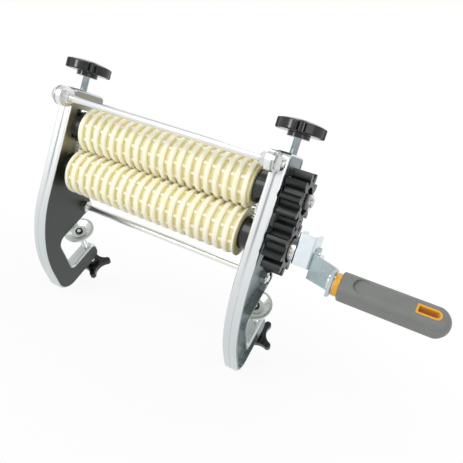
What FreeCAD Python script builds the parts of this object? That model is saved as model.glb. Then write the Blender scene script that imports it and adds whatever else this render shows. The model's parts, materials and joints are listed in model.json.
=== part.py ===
"""Hand-cranked twin-roller kitchen machine that clamps to a table edge.

Millimetres. +X runs along the rollers toward the crank, +Y to the back, +Z up along the side plates.
The origin is midway between the two clamp jaws, on the jaw plane, where the clamp screws point.
"""
import FreeCAD, Part
import math
import os

# Rollers: two ringed nylon sleeves whose rings run in each other's grooves
RING_PITCH = 11.0
RING_COUNT = 20
RING_RADIUS = 26.7
RING_CREST = 4.8
RING_CREST_RISE = 0.5
RING_MESH = 2.4
RING_ROOT_GAP = 1.6
RING_ROOT_FLAT = 4.8
SHAFT_RADIUS = 7.0
ROLLER_AXIS_Y = -40.3
LOWER_AXIS_Z = 70.2
OPENING_TRAVEL = 5.0

# Gears
GEAR_TEETH = 10
GEAR_FLANK_COUNT = 6
GEAR_PRESSURE_ANGLE = 25.0
GEAR_ADDENDUM = 4.1
GEAR_ROOT_CLEARANCE = 1.0
GEAR_BACKLASH = 0.8
GEAR_WIDTH = 21.0
GEAR_GAP = 2.0
GEAR_RECESS_RADIUS = 15.0
GEAR_RECESS_DEPTH = 5.0
KEY_WIDTH = 4.0
KEY_HEIGHT = 4.0
KEY_SEAT = 2.5
KEY_LENGTH = 16.0

# Side plates
PLATE_WIDTH = 17.0
PLATE_WEB = 9.0
PLATE_RIM = 5.0
PLATE_FRONT = 28.0
PLATE_BACK = 29.0
PLATE_TOP_ABOVE_UPPER_AXIS = 41.0
PLATE_FRONT_CORNER = 8.0
PLATE_BACK_CORNER = 6.0
PLATE_FRONT_SWEEP = 150.0
PLATE_BACK_SWEEP = 25.0
PLATE_TOE_RADIUS = 24.0
PLATE_ROUNDING = 3.0

# Table clamp, measured along the jaw and square to it
JAW_ANGLE = 45.0
JAW_TIP = 31.0
JAW_TIP_RADIUS = 5.0
THROAT_DEPTH = 38.0
THROAT_HEIGHT = 55.5
THROAT_JAW_RADIUS = 10.0
THROAT_FLOOR_RADIUS = 6.0
CLAMP_WALL = 30.0
CLAMP_ARM = 25.5
CLAMP_ARM_END = 11.0
CLAMP_ARM_CORNER = 10.0
CLAMP_BOSS_HALF = 13.0
PAD_REST_GAP = 20.0
PAD_RADIUS = 20.0
PAD_RING = 3.0
PAD_SHEET = 2.5
PAD_DISH = 4.0
PAD_FLOOR_RADIUS = 10.0
CLAMP_SCREW_RADIUS = 4.0
CLAMP_NECK_RADIUS = 3.0
CLAMP_COLLAR_RADIUS = 6.0
CLAMP_COLLAR_HEIGHT = 4.0
CLAMP_RING_RADIUS = 5.0
CLAMP_RING_HEIGHT = 1.6
CLAMP_KNOB_GAP = 7.0
CLAMP_HUB_RADIUS = 8.5
CLAMP_HUB_HEIGHT = 13.0
CLAMP_HUB_SEAT = 9.0
STAR_ARMS = 4
STAR_REACH = 25.0
STAR_TIP_RADIUS = 4.3
STAR_HEIGHT = 9.0
STAR_ROUNDING = 1.8
RIGHT_STAR_ANGLE = 22.0
LEFT_STAR_ANGLE = 37.0

# Bearings, return springs and adjusting screws
HUB_GAP = 15.0
HUB_LENGTH = 13.4
BEARING_SLEEVE_RADIUS = 12.0
LOWER_BOSS_RADIUS = 17.5
GUIDE_WIDTH = 30.0
GUIDE_HEIGHT = 28.0
GUIDE_FRAME = 6.0
SPRING_RADIUS = 4.5
SPRING_WIRE_RADIUS = 1.0
SPRING_TURNS = 4
SPRING_SAMPLE_COUNT = 24
SPRING_SIDE_PLAY = 0.5
SPRING_POCKET_DEPTH = 3.5
ADJUST_SCREW_RADIUS = 4.0
ADJUST_OUTWARD = 2.5
ADJUST_STUD_SHOWN = 16.5
ADJUST_SEAT = 12.0
ADJUST_BOSS_RADIUS = 12.0
ADJUST_BOSS_HEIGHT = 4.6
ADJUST_KNOB_RADIUS = 26.0
ADJUST_KNOB_EDGE = 10.5
ADJUST_KNOB_DOME = 3.6
ADJUST_KNOB_LOBES = 5
ADJUST_NOTCH_RADIUS = 4.5
ADJUST_NOTCH_DEPTH = 4.5
ADJUST_KNOB_ROUNDING = 1.5
RIGHT_NOTCH_ANGLE = 69.0
LEFT_NOTCH_ANGLE = 7.0

# Tie rods and their nuts
ROD_RADIUS = 4.0
ROD_NUT_FLATS = 13.0
ROD_NUT_HEIGHT = 6.5
ROD_END = 2.0
HEX_CHAMFER_ANGLE = 30.0
TOP_NUT_ROOM = 2.5
TOP_ROD_BELOW_TOP = 12.5
TOP_ROD_BOSS_RADIUS = 11.0
TOP_ROD_NECK_HALF = 8.5
LOWER_NUT_TIP_ROOM = 1.0
LOWER_NUT_JAW_ROOM = 2.0

# Upper gear nut
END_THREAD_RADIUS = 5.0
END_NUT_FLATS = 16.0
END_NUT_HEIGHT = 8.0
END_WASHER_RADIUS = 11.0
END_WASHER_HEIGHT = 2.0
END_THREAD_SHOWN = 1.5

# Crank
SPACER_RADIUS = 12.0
SPACER_HEIGHT = 12.0
SQUARE_END = 9.8
ARM_SQUARE = 8.0
BRACKET_SHEET = 3.0
BRACKET_BEND = 2.9
BRACKET_LENGTH = 19.0
BRACKET_FRONT = 16.0
BRACKET_BACK = 13.0
BRACKET_ABOVE = 21.5
BRACKET_BELOW = 11.0
ARM_SHEET = 2.5
ARM_FOOT_BACK = 13.0
ARM_FOOT_FRONT = 13.0
ARM_ABOVE = 10.0
ARM_NECK_ABOVE = 6.0
ARM_BELOW = 20.0
ARM_LIP_HALF = 10.5
ARM_OUTWARD = 30.5
CRANK_RADIUS = 88.0
BOLT_RADIUS = 3.0
BOLT_DEPTH = 14.0
BOLT_HEAD_FLATS = 10.0
BOLT_HEAD_HEIGHT = 4.0
BOLT_WASHER_RADIUS = 7.0
BOLT_WASHER_HEIGHT = 1.6

# Grip
SPINDLE_RADIUS = 4.0
SPINDLE_FLANGE_RADIUS = 7.0
SPINDLE_FLANGE_HEIGHT = 1.0
SPINDLE_RIVET_RADIUS = 6.0
SPINDLE_RIVET_HEIGHT = 2.0
SPINDLE_TO_SLOT = 16.8
COLLAR_RADIUS = 9.8
COLLAR_LENGTH = 4.5
CORE_RADIUS = 7.0
GRIP_LENGTH = 88.0
GRIP_HALF = 10.7
GRIP_CORNER = 6.0
GRIP_NECK_ROUNDING = 2.0
HANG_SLOT_LENGTH = 16.0
HANG_SLOT_WIDTH = 5.5
HANG_SLOT_LINER = 1.6
HANG_SLOT_FROM_END = 18.5
THUMB_REST_RADIUS = 7.0
THUMB_REST_DEPTH = 2.4
THUMB_REST_FROM_NECK = 17.5
GRIP_TURN = 42.0

# Clearances
END_PLAY = 0.3
FACE_PLAY = 0.15
RUNNING_PLAY = 0.06
SLIDE_PLAY = 0.1
SPRING_PLAY = 0.2
SEAT_PLAY = 0.1


def jaw_point(along, out):
    """Return (y, z) at a distance along the jaw toward its tip and a distance out from it."""
    turn = math.radians(JAW_ANGLE)
    y = along * math.cos(turn) + out * math.sin(turn)
    z = along * math.sin(turn) - out * math.cos(turn)
    return (y, z)


# Places worked out from the driving dimensions
RING_HEIGHT = RING_MESH + RING_ROOT_GAP
RING_FLANK_RUN = (RING_PITCH - RING_CREST - RING_ROOT_FLAT) / 2
ROLLER_HALF = RING_PITCH * RING_COUNT / 2
AXIS_DISTANCE = 2 * RING_RADIUS - RING_MESH
UPPER_AXIS_Z = LOWER_AXIS_Z + AXIS_DISTANCE
HUB_RADIUS = (AXIS_DISTANCE - HUB_GAP) / 2
PLATE_INNER = ROLLER_HALF + END_PLAY + HUB_LENGTH
PLATE_OUTER = PLATE_INNER + PLATE_WIDTH
PLATE_MID = PLATE_INNER + PLATE_WIDTH / 2
WEB_OUTER = PLATE_INNER + PLATE_WEB
PLATE_TOP_Z = UPPER_AXIS_Z + PLATE_TOP_ABOVE_UPPER_AXIS
PLATE_FRONT_Y = ROLLER_AXIS_Y - PLATE_FRONT
PLATE_BACK_Y = ROLLER_AXIS_Y + PLATE_BACK
GUIDE_TOP_Z = UPPER_AXIS_Z + GUIDE_HEIGHT / 2
SLOT_TOP_Z = GUIDE_TOP_Z + OPENING_TRAVEL + SEAT_PLAY
SLOT_BOTTOM_Z = UPPER_AXIS_Z - GUIDE_HEIGHT / 2 - SEAT_PLAY
SPRING_X = PLATE_INNER - HUB_LENGTH / 2
SPRING_POCKET_RADIUS = SPRING_RADIUS + SPRING_WIRE_RADIUS + SPRING_SIDE_PLAY
KNOB_SEAT_Z = PLATE_TOP_Z + ADJUST_STUD_SHOWN
ADJUST_X = PLATE_MID + ADJUST_OUTWARD
PAD_BACK = PAD_REST_GAP + PAD_DISH + PAD_SHEET
NECK_TOP = PAD_REST_GAP + PAD_DISH - FACE_PLAY
CLAMP_HUB_START = THROAT_HEIGHT + CLAMP_ARM + CLAMP_KNOB_GAP
ROD_NUT_REACH = ROD_NUT_FLATS / math.sqrt(3)
TOP_ROD = (PLATE_FRONT_Y - ROD_NUT_REACH - TOP_NUT_ROOM, PLATE_TOP_Z - TOP_ROD_BELOW_TOP)
LOWER_ROD_ALONG_JAW = JAW_TIP - PLATE_RIM - ROD_NUT_REACH - LOWER_NUT_TIP_ROOM
LOWER_ROD_ABOVE_JAW = PLATE_RIM + ROD_NUT_REACH + LOWER_NUT_JAW_ROOM
LOWER_ROD = jaw_point(LOWER_ROD_ALONG_JAW, -LOWER_ROD_ABOVE_JAW)
LOWER_TOOTH_TURN = 90.0
UPPER_TOOTH_TURN = -90.0 + 180.0 / GEAR_TEETH
GEAR_START = PLATE_OUTER + GEAR_GAP
GEAR_END = GEAR_START + GEAR_WIDTH
GEAR_FACE = GEAR_END - GEAR_RECESS_DEPTH
END_NUT_START = GEAR_FACE + END_WASHER_HEIGHT
END_NUT_END = END_NUT_START + END_NUT_HEIGHT
BRACKET_START = GEAR_FACE + SPACER_HEIGHT
BRACKET_END = BRACKET_START + BRACKET_LENGTH
FOOT_START = BRACKET_END
FOOT_END = FOOT_START + ARM_SHEET
LIP_START = FOOT_END + ARM_OUTWARD
LIP_END = LIP_START + ARM_SHEET
GRIP_Y = ROLLER_AXIS_Y - CRANK_RADIUS
GRIP_Z = LOWER_AXIS_Z
FLANGE_END = LIP_END + SPINDLE_FLANGE_HEIGHT
COLLAR_START = FLANGE_END + END_PLAY
GRIP_START = COLLAR_START + COLLAR_LENGTH
GRIP_END = GRIP_START + GRIP_LENGTH
GRIP_REACH = (GRIP_HALF - GRIP_CORNER) * math.sqrt(2) + GRIP_CORNER
SLOT_MIDDLE = GRIP_END - HANG_SLOT_FROM_END
SPINDLE_END = SLOT_MIDDLE - HANG_SLOT_LENGTH / 2 - SPINDLE_TO_SLOT
X_AXIS = FreeCAD.Vector(1, 0, 0)
Y_AXIS = FreeCAD.Vector(0, 1, 0)
Z_AXIS = FreeCAD.Vector(0, 0, 1)
ORIGIN = FreeCAD.Vector(0, 0, 0)


def vec(x, y, z):
    """Return a point."""
    return FreeCAD.Vector(x, y, z)


def jaw_line_at(along, y):
    """Return (y, z) where the line square to the jaw at a distance along it has the given y."""
    turn = math.radians(JAW_ANGLE)
    out = (y - along * math.cos(turn)) / math.sin(turn)
    return jaw_point(along, out)


def rod_x(radius, start, end, y, z):
    """Return a cylinder along X between two X places."""
    return Part.makeCylinder(radius, end - start, vec(start, y, z), X_AXIS)


def rod_z(radius, start, end, x, y):
    """Return a cylinder along Z between two heights."""
    return Part.makeCylinder(radius, end - start, vec(x, y, start), Z_AXIS)


def block(x0, x1, y0, y1, z0, z1):
    """Return a box between the given planes."""
    return Part.makeBox(x1 - x0, y1 - y0, z1 - z0, vec(x0, y0, z0))


def prism_x(wire, start, end):
    """Return the solid that a closed wire in the plane X = 0 sweeps between two X places."""
    placed = wire.translated(vec(start, 0, 0))
    return Part.Face(placed).extrude(vec(end - start, 0, 0))


def rounded_outline(corners):
    """Return a closed wire in the plane X = 0 through (y, z, radius) corners, rounded by arcs."""
    points = [vec(0, y, z) for y, z, radius in corners]
    starts = []
    ends = []
    middles = []
    for index, corner in enumerate(corners):
        here = points[index]
        to_last = (points[index - 1] - here).normalize()
        to_next = (points[(index + 1) % len(points)] - here).normalize()
        half = to_last.getAngle(to_next) / 2
        reach = corner[2] / math.tan(half)
        bisector = (to_last + to_next).normalize()
        starts.append(here + to_last * reach)
        ends.append(here + to_next * reach)
        middles.append(here + bisector * (corner[2] / math.sin(half) - corner[2]))
    edges = []
    for index in range(len(corners)):
        edges.append(Part.Arc(starts[index], middles[index], ends[index]).toShape())
        following = (index + 1) % len(corners)
        edges.append(Part.LineSegment(ends[index], starts[following]).toShape())
    return Part.Wire(edges)


def turned(profile, axis_point, axis):
    """Return the solid of revolution of a closed wire about an axis."""
    return Part.Face(profile).revolve(axis_point, axis, 360)


def turned_x(outline, y, z):
    """Return the solid turned about the X-parallel axis at (y, z) from (x, radius) points."""
    points = [vec(x, y, z + radius) for x, radius in outline]
    return turned(Part.makePolygon(points + points[:1]), vec(0, y, z), X_AXIS)


def turned_z(outline, x, y):
    """Return the solid turned about the upright axis at (x, y) from (radius, z) points."""
    points = [vec(x + radius, y, z) for radius, z in outline]
    return turned(Part.makePolygon(points + points[:1]), vec(x, y, 0), Z_AXIS)


def hex_x(flats, start, end, y, z):
    """Return a hexagon along X with its corners chamfered at both ends."""
    across = flats / math.sqrt(3)
    inside = flats / 2
    corner_cut = (across - inside) * math.tan(math.radians(HEX_CHAMFER_ANGLE))
    angles = [math.radians(60 * corner) for corner in range(6)]
    points = [vec(0, y + across * math.cos(angle), z + across * math.sin(angle)) for angle in angles]
    body = prism_x(Part.makePolygon(points + points[:1]), start, end)
    cone = [(start, 0), (start, inside), (start + corner_cut, across)]
    cone += [(end - corner_cut, across), (end, inside), (end, 0)]
    return body.common(turned_x(cone, y, z))


def nut_x(flats, start, end, y, z, bore):
    """Return a hexagonal nut along X."""
    return hex_x(flats, start, end, y, z).cut(rod_x(bore, start, end, y, z))


def ring_x(outer, inner, start, end, y, z):
    """Return a plain ring along X."""
    return rod_x(outer, start, end, y, z).cut(rod_x(inner, start, end, y, z))


def is_upright(edge):
    """Tell whether an edge runs more up than along."""
    return edge.BoundBox.ZLength > edge.Length / 2


def mirrored(shape):
    """Return the left-hand twin of a right-hand piece."""
    return shape.mirror(ORIGIN, X_AXIS)


def on_screw_axis(shape):
    """Move a piece built on the Z axis, +Z away from the jaw, onto the right clamp screw's axis."""
    placed = shape.copy()
    placed.rotate(ORIGIN, X_AXIS, 180.0 + JAW_ANGLE)
    placed.translate(vec(PLATE_MID, 0, 0))
    return placed


def roller(axis_z, ring_places):
    """Return a ringed sleeve with a ring at each of the given X places, cut off at both ends."""
    root = RING_RADIUS - RING_HEIGHT
    edge = RING_RADIUS - RING_CREST_RISE
    half_crest = RING_CREST / 2
    foot = half_crest + RING_FLANK_RUN

    def at(x, radius):
        return vec(x, ROLLER_AXIS_Y, axis_z + radius)

    near_end = at(-ROLLER_HALF - RING_PITCH, root)
    far_end = at(ROLLER_HALF + RING_PITCH, root)
    near_bore = at(-ROLLER_HALF - RING_PITCH, SHAFT_RADIUS)
    far_bore = at(ROLLER_HALF + RING_PITCH, SHAFT_RADIUS)
    edges = []
    last = near_end
    for middle in ring_places:
        left_foot = at(middle - foot, root)
        left_edge = at(middle - half_crest, edge)
        right_edge = at(middle + half_crest, edge)
        right_foot = at(middle + foot, root)
        edges.append(Part.LineSegment(last, left_foot).toShape())
        edges.append(Part.LineSegment(left_foot, left_edge).toShape())
        edges.append(Part.Arc(left_edge, at(middle, RING_RADIUS), right_edge).toShape())
        edges.append(Part.LineSegment(right_edge, right_foot).toShape())
        last = right_foot
    edges.append(Part.LineSegment(last, far_end).toShape())
    edges.append(Part.LineSegment(far_end, far_bore).toShape())
    edges.append(Part.LineSegment(far_bore, near_bore).toShape())
    edges.append(Part.LineSegment(near_bore, near_end).toShape())
    sleeve = turned(Part.Wire(edges), vec(0, ROLLER_AXIS_Y, axis_z), X_AXIS)
    reach = RING_RADIUS + RING_HEIGHT
    length = block(-ROLLER_HALF, ROLLER_HALF, ROLLER_AXIS_Y - reach, ROLLER_AXIS_Y + reach,
                   axis_z - reach, axis_z + reach)
    return sleeve.common(length)


def gear(axis_z, tooth_turn):
    """Return a spur gear on X whose first tooth points at an angle from +Y toward +Z."""
    pitch_radius = AXIS_DISTANCE / 2
    pressure = math.radians(GEAR_PRESSURE_ANGLE)
    base_radius = pitch_radius * math.cos(pressure)
    tip_radius = pitch_radius + GEAR_ADDENDUM
    root_radius = pitch_radius - GEAR_ADDENDUM - GEAR_ROOT_CLEARANCE

    def spread(radius):
        lean = math.acos(base_radius / radius)
        return math.tan(lean) - lean

    half_pitch = math.pi / (2 * GEAR_TEETH) - GEAR_BACKLASH / (4 * pitch_radius)

    def at(radius, angle):
        return vec(0, ROLLER_AXIS_Y + radius * math.cos(angle), axis_z + radius * math.sin(angle))

    rise = (tip_radius - base_radius) / (GEAR_FLANK_COUNT - 1)
    radii = [base_radius + rise * k for k in range(GEAR_FLANK_COUNT)]
    halves = [half_pitch + spread(pitch_radius) - spread(radius) for radius in radii]
    edges = []
    step = 2 * math.pi / GEAR_TEETH
    for tooth in range(GEAR_TEETH):
        middle = math.radians(tooth_turn) + tooth * step
        rising = [at(radius, middle - half) for radius, half in zip(radii, halves)]
        falling = [at(radius, middle + half) for radius, half in zip(radii, halves)][::-1]
        root_in = at(root_radius, middle - halves[0])
        root_out = at(root_radius, middle + halves[0])
        next_root = at(root_radius, middle + step - halves[0])
        up_flank = Part.BSplineCurve()
        up_flank.interpolate(rising)
        down_flank = Part.BSplineCurve()
        down_flank.interpolate(falling)
        edges.append(Part.LineSegment(root_in, rising[0]).toShape())
        edges.append(up_flank.toShape())
        edges.append(Part.Arc(rising[-1], at(tip_radius, middle), falling[0]).toShape())
        edges.append(down_flank.toShape())
        edges.append(Part.LineSegment(falling[-1], root_out).toShape())
        edges.append(Part.Arc(root_out, at(root_radius, middle + step / 2), next_root).toShape())
    body = prism_x(Part.Wire(edges), GEAR_START, GEAR_END)
    recess = rod_x(GEAR_RECESS_RADIUS, GEAR_FACE, GEAR_END, ROLLER_AXIS_Y, axis_z)
    bore = rod_x(SHAFT_RADIUS, GEAR_START, GEAR_END, ROLLER_AXIS_Y, axis_z)
    return body.cut(recess).cut(bore).cut(gear_key(axis_z, tooth_turn))


def gear_key(axis_z, turn):
    """Return the key between a gear and its shaft, under the tooth at the given angle."""
    middle = (GEAR_START + GEAR_FACE) / 2
    low = SHAFT_RADIUS - KEY_SEAT
    key = block(middle - KEY_LENGTH / 2, middle + KEY_LENGTH / 2, low, low + KEY_HEIGHT,
                -KEY_WIDTH / 2, KEY_WIDTH / 2)
    key.rotate(ORIGIN, X_AXIS, turn)
    key.translate(vec(0, ROLLER_AXIS_Y, axis_z))
    return key


def plate_outline():
    """Return the side plate's outer outline."""
    wall = -THROAT_DEPTH - CLAMP_WALL
    floor = THROAT_HEIGHT
    under = THROAT_HEIGHT + CLAMP_ARM
    corners = [
        (PLATE_FRONT_Y, PLATE_TOP_Z, PLATE_FRONT_CORNER),
        (PLATE_BACK_Y, PLATE_TOP_Z, PLATE_BACK_CORNER),
        jaw_line_at(JAW_TIP, PLATE_BACK_Y) + (PLATE_BACK_SWEEP,),
        jaw_point(JAW_TIP, 0) + (JAW_TIP_RADIUS,),
        jaw_point(-THROAT_DEPTH, 0) + (THROAT_JAW_RADIUS,),
        jaw_point(-THROAT_DEPTH, floor) + (THROAT_FLOOR_RADIUS,),
        jaw_point(CLAMP_ARM_END, floor) + (CLAMP_ARM_CORNER,),
        jaw_point(CLAMP_ARM_END, under) + (CLAMP_ARM_CORNER,),
        jaw_point(wall, under) + (PLATE_TOE_RADIUS,),
        jaw_line_at(wall, PLATE_FRONT_Y) + (PLATE_FRONT_SWEEP,),
    ]
    return rounded_outline(corners)


def jaw_block(along_0, along_1, out_0, out_1, start, end):
    """Return a box square to the jaw between two X places."""
    corners = [(along_0, out_0), (along_1, out_0), (along_1, out_1), (along_0, out_1)]
    points = [vec(0, *jaw_point(along, out)) for along, out in corners]
    return prism_x(Part.makePolygon(points + points[:1]), start, end)


def right_side_plate():
    """Return the right plate: a flat web with a deep rim, bearing seats and the clamp's C."""
    outline = plate_outline()
    body = prism_x(outline, PLATE_INNER, PLATE_OUTER)
    rim_edges = [edge for edge in body.Edges if edge.BoundBox.XLength < PLATE_ROUNDING]
    body = body.makeFillet(PLATE_ROUNDING, rim_edges)
    pocket = prism_x(outline.makeOffset2D(-PLATE_RIM), WEB_OUTER, PLATE_OUTER)
    frame_half = GUIDE_WIDTH / 2 + GUIDE_FRAME
    solid_zones = [
        block(WEB_OUTER, PLATE_OUTER, ROLLER_AXIS_Y - frame_half, ROLLER_AXIS_Y + frame_half,
              SLOT_BOTTOM_Z - GUIDE_FRAME, PLATE_TOP_Z),
        rod_x(LOWER_BOSS_RADIUS, WEB_OUTER, PLATE_OUTER, ROLLER_AXIS_Y, LOWER_AXIS_Z),
        jaw_block(-CLAMP_BOSS_HALF, CLAMP_ARM_END, THROAT_HEIGHT, THROAT_HEIGHT + CLAMP_ARM,
                  WEB_OUTER, PLATE_OUTER),
    ]
    for zone in solid_zones:
        pocket = pocket.cut(zone)
    body = body.cut(pocket)
    rod_y, rod_height = TOP_ROD
    body = body.fuse(rod_x(TOP_ROD_BOSS_RADIUS, PLATE_INNER, WEB_OUTER, rod_y, rod_height))
    body = body.fuse(block(PLATE_INNER, WEB_OUTER, rod_y, PLATE_FRONT_Y + PLATE_RIM,
                           rod_height - TOP_ROD_NECK_HALF, rod_height + TOP_ROD_NECK_HALF))
    slot_half = GUIDE_WIDTH / 2 + SLIDE_PLAY
    screw_hole = rod_z(CLAMP_SCREW_RADIUS + RUNNING_PLAY, THROAT_HEIGHT, THROAT_HEIGHT + CLAMP_ARM, 0, 0)
    cuts = [
        rod_x(ROD_RADIUS, PLATE_INNER, PLATE_OUTER, rod_y, rod_height),
        rod_x(ROD_RADIUS, PLATE_INNER, PLATE_OUTER, *LOWER_ROD),
        rod_x(BEARING_SLEEVE_RADIUS, PLATE_INNER, PLATE_OUTER, ROLLER_AXIS_Y, LOWER_AXIS_Z),
        block(PLATE_INNER, PLATE_OUTER, ROLLER_AXIS_Y - slot_half, ROLLER_AXIS_Y + slot_half,
              SLOT_BOTTOM_Z, SLOT_TOP_Z),
        rod_z(ADJUST_SCREW_RADIUS + RUNNING_PLAY, SLOT_TOP_Z, PLATE_TOP_Z, ADJUST_X, ROLLER_AXIS_Y),
        on_screw_axis(screw_hole),
    ]
    for cut in cuts:
        body = body.cut(cut)
    return body.removeSplitter()


def lower_bearing():
    """Return the right lower bearing: a flanged nylon bush with a seat for the return spring."""
    flange = rod_x(HUB_RADIUS, PLATE_INNER - HUB_LENGTH, PLATE_INNER, ROLLER_AXIS_Y, LOWER_AXIS_Z)
    sleeve = rod_x(BEARING_SLEEVE_RADIUS, PLATE_INNER, PLATE_OUTER, ROLLER_AXIS_Y, LOWER_AXIS_Z)
    bore = rod_x(SHAFT_RADIUS + RUNNING_PLAY, PLATE_INNER - HUB_LENGTH, PLATE_OUTER,
                 ROLLER_AXIS_Y, LOWER_AXIS_Z)
    seat_top = LOWER_AXIS_Z + HUB_RADIUS
    seat = rod_z(SPRING_POCKET_RADIUS, seat_top - SPRING_POCKET_DEPTH, seat_top, SPRING_X, ROLLER_AXIS_Y)
    return flange.fuse(sleeve).cut(bore).cut(seat)


def upper_bearing():
    """Return the right upper bearing: a round flange with a guide that slides in the plate's slot."""
    start = PLATE_INNER - HUB_LENGTH
    flange = rod_x(HUB_RADIUS, start, PLATE_INNER - FACE_PLAY, ROLLER_AXIS_Y, UPPER_AXIS_Z)
    half = GUIDE_WIDTH / 2
    guide = block(PLATE_INNER - FACE_PLAY, PLATE_OUTER, ROLLER_AXIS_Y - half, ROLLER_AXIS_Y + half,
                  UPPER_AXIS_Z - GUIDE_HEIGHT / 2, GUIDE_TOP_Z)
    bore = rod_x(SHAFT_RADIUS + RUNNING_PLAY, start, PLATE_OUTER, ROLLER_AXIS_Y, UPPER_AXIS_Z)
    seat_low = UPPER_AXIS_Z - HUB_RADIUS
    seat = rod_z(SPRING_POCKET_RADIUS, seat_low, seat_low + SPRING_POCKET_DEPTH, SPRING_X, ROLLER_AXIS_Y)
    return flange.fuse(guide).cut(bore).cut(seat)


def helix_point(turn, radius, rise_per_turn, bottom):
    """Return a point and unit tangent of the spring's middle line after a number of turns."""
    angle = 2 * math.pi * turn
    place = vec(SPRING_X + radius * math.cos(angle), ROLLER_AXIS_Y + radius * math.sin(angle),
                bottom + rise_per_turn * turn)
    around = 2 * math.pi * radius
    tangent = vec(-around * math.sin(angle), around * math.cos(angle), rise_per_turn)
    return place, tangent.normalize()


def tangent_arc(start, corner, end):
    """Return the arc that leaves start toward corner and arrives at end from it."""
    weight = start.distanceToPoint(end) / (2 * start.distanceToPoint(corner))
    middle = (start + corner * (2 * weight) + end) * (1 / (2 + 2 * weight))
    return Part.Arc(start, middle, end).toShape()


def biarc(start, start_way, end, end_way):
    """Return two arcs that join two points with the given directions."""
    chord = end - start
    both = start_way + end_way
    a = 2 * (1 - start_way.dot(end_way))
    b = 2 * chord.dot(both)
    c = -chord.dot(chord)
    reach = (-b + math.sqrt(b * b - 4 * a * c)) / (2 * a)
    first_corner = start + start_way * reach
    second_corner = end - end_way * reach
    joint = (first_corner + second_corner) * 0.5
    return [tangent_arc(start, first_corner, joint), tangent_arc(joint, second_corner, end)]


def return_spring():
    """Return the right return spring as one unbroken wire and print its least gap to itself."""
    seat_low = LOWER_AXIS_Z + HUB_RADIUS - SPRING_POCKET_DEPTH
    seat_high = UPPER_AXIS_Z - HUB_RADIUS + SPRING_POCKET_DEPTH
    margin = SPRING_WIRE_RADIUS + SPRING_PLAY
    bottom = seat_low + margin
    rise = (seat_high - seat_low - 2 * margin) / SPRING_TURNS
    quarters = SPRING_TURNS * 4
    edges = []
    for quarter in range(quarters):
        start, start_way = helix_point(quarter / 4, SPRING_RADIUS, rise, bottom)
        end, end_way = helix_point((quarter + 1) / 4, SPRING_RADIUS, rise, bottom)
        edges += biarc(start, start_way, end, end_way)
    place, way = helix_point(0, SPRING_RADIUS, rise, bottom)
    section = Part.Wire(Part.Circle(place, way, SPRING_WIRE_RADIUS).toShape())
    line = [helix_point(k / SPRING_SAMPLE_COUNT, SPRING_RADIUS, rise, bottom)[0]
            for k in range(SPRING_TURNS * SPRING_SAMPLE_COUNT + 1)]
    apart = SPRING_SAMPLE_COUNT // 2
    gaps = [here.distanceToPoint(there) for i, here in enumerate(line) for there in line[i + apart:]]
    print("return spring: least gap to itself", round(min(gaps) - 2 * SPRING_WIRE_RADIUS, 2), "mm")
    return Part.Wire(edges).makePipeShell([section], True, False)


def adjusting_screw():
    """Return the right adjusting screw, from the upper bearing's guide up into the knob."""
    return rod_z(ADJUST_SCREW_RADIUS, GUIDE_TOP_Z + SEAT_PLAY, KNOB_SEAT_Z + ADJUST_SEAT,
                 ADJUST_X, ROLLER_AXIS_Y)


def adjusting_knob(turn):
    """Return the right adjusting knob: a domed disc on a round boss, its first notch at the given angle."""
    under = KNOB_SEAT_Z + ADJUST_BOSS_HEIGHT
    peak = under + ADJUST_KNOB_EDGE + ADJUST_KNOB_DOME
    wall = rod_z(ADJUST_KNOB_RADIUS, under, peak, ADJUST_X, ROLLER_AXIS_Y)
    dome_radius = (ADJUST_KNOB_RADIUS ** 2 + ADJUST_KNOB_DOME ** 2) / (2 * ADJUST_KNOB_DOME)
    dome = Part.makeSphere(dome_radius, vec(ADJUST_X, ROLLER_AXIS_Y, peak - dome_radius))
    disc = wall.common(dome)
    ring = ADJUST_KNOB_RADIUS + ADJUST_NOTCH_RADIUS - ADJUST_NOTCH_DEPTH
    for lobe in range(ADJUST_KNOB_LOBES):
        angle = math.radians(turn) + 2 * math.pi * lobe / ADJUST_KNOB_LOBES
        disc = disc.cut(rod_z(ADJUST_NOTCH_RADIUS, under, peak, ADJUST_X + ring * math.cos(angle),
                              ROLLER_AXIS_Y + ring * math.sin(angle)))
    rims = [edge for edge in disc.Edges if not is_upright(edge)]
    disc = disc.makeFillet(ADJUST_KNOB_ROUNDING, rims)
    boss = rod_z(ADJUST_BOSS_RADIUS, KNOB_SEAT_Z, under, ADJUST_X, ROLLER_AXIS_Y)
    bore = rod_z(ADJUST_SCREW_RADIUS, KNOB_SEAT_Z, KNOB_SEAT_Z + ADJUST_SEAT, ADJUST_X, ROLLER_AXIS_Y)
    return disc.fuse(boss).removeSplitter().cut(bore)


def clamp_pad():
    """Return the right clamp pad: a dished steel disc, hollow side to the jaw."""
    slope_run = PAD_RADIUS - PAD_RING
    low = PAD_REST_GAP
    outline = [
        (CLAMP_NECK_RADIUS + RUNNING_PLAY, low + PAD_DISH),
        (PAD_FLOOR_RADIUS, low + PAD_DISH),
        (slope_run, low),
        (PAD_RADIUS, low),
        (PAD_RADIUS, low + PAD_SHEET),
        (slope_run, low + PAD_SHEET),
        (PAD_FLOOR_RADIUS, low + PAD_DISH + PAD_SHEET),
        (CLAMP_NECK_RADIUS + RUNNING_PLAY, low + PAD_DISH + PAD_SHEET),
    ]
    return on_screw_axis(turned_z(outline, 0, 0))


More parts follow.
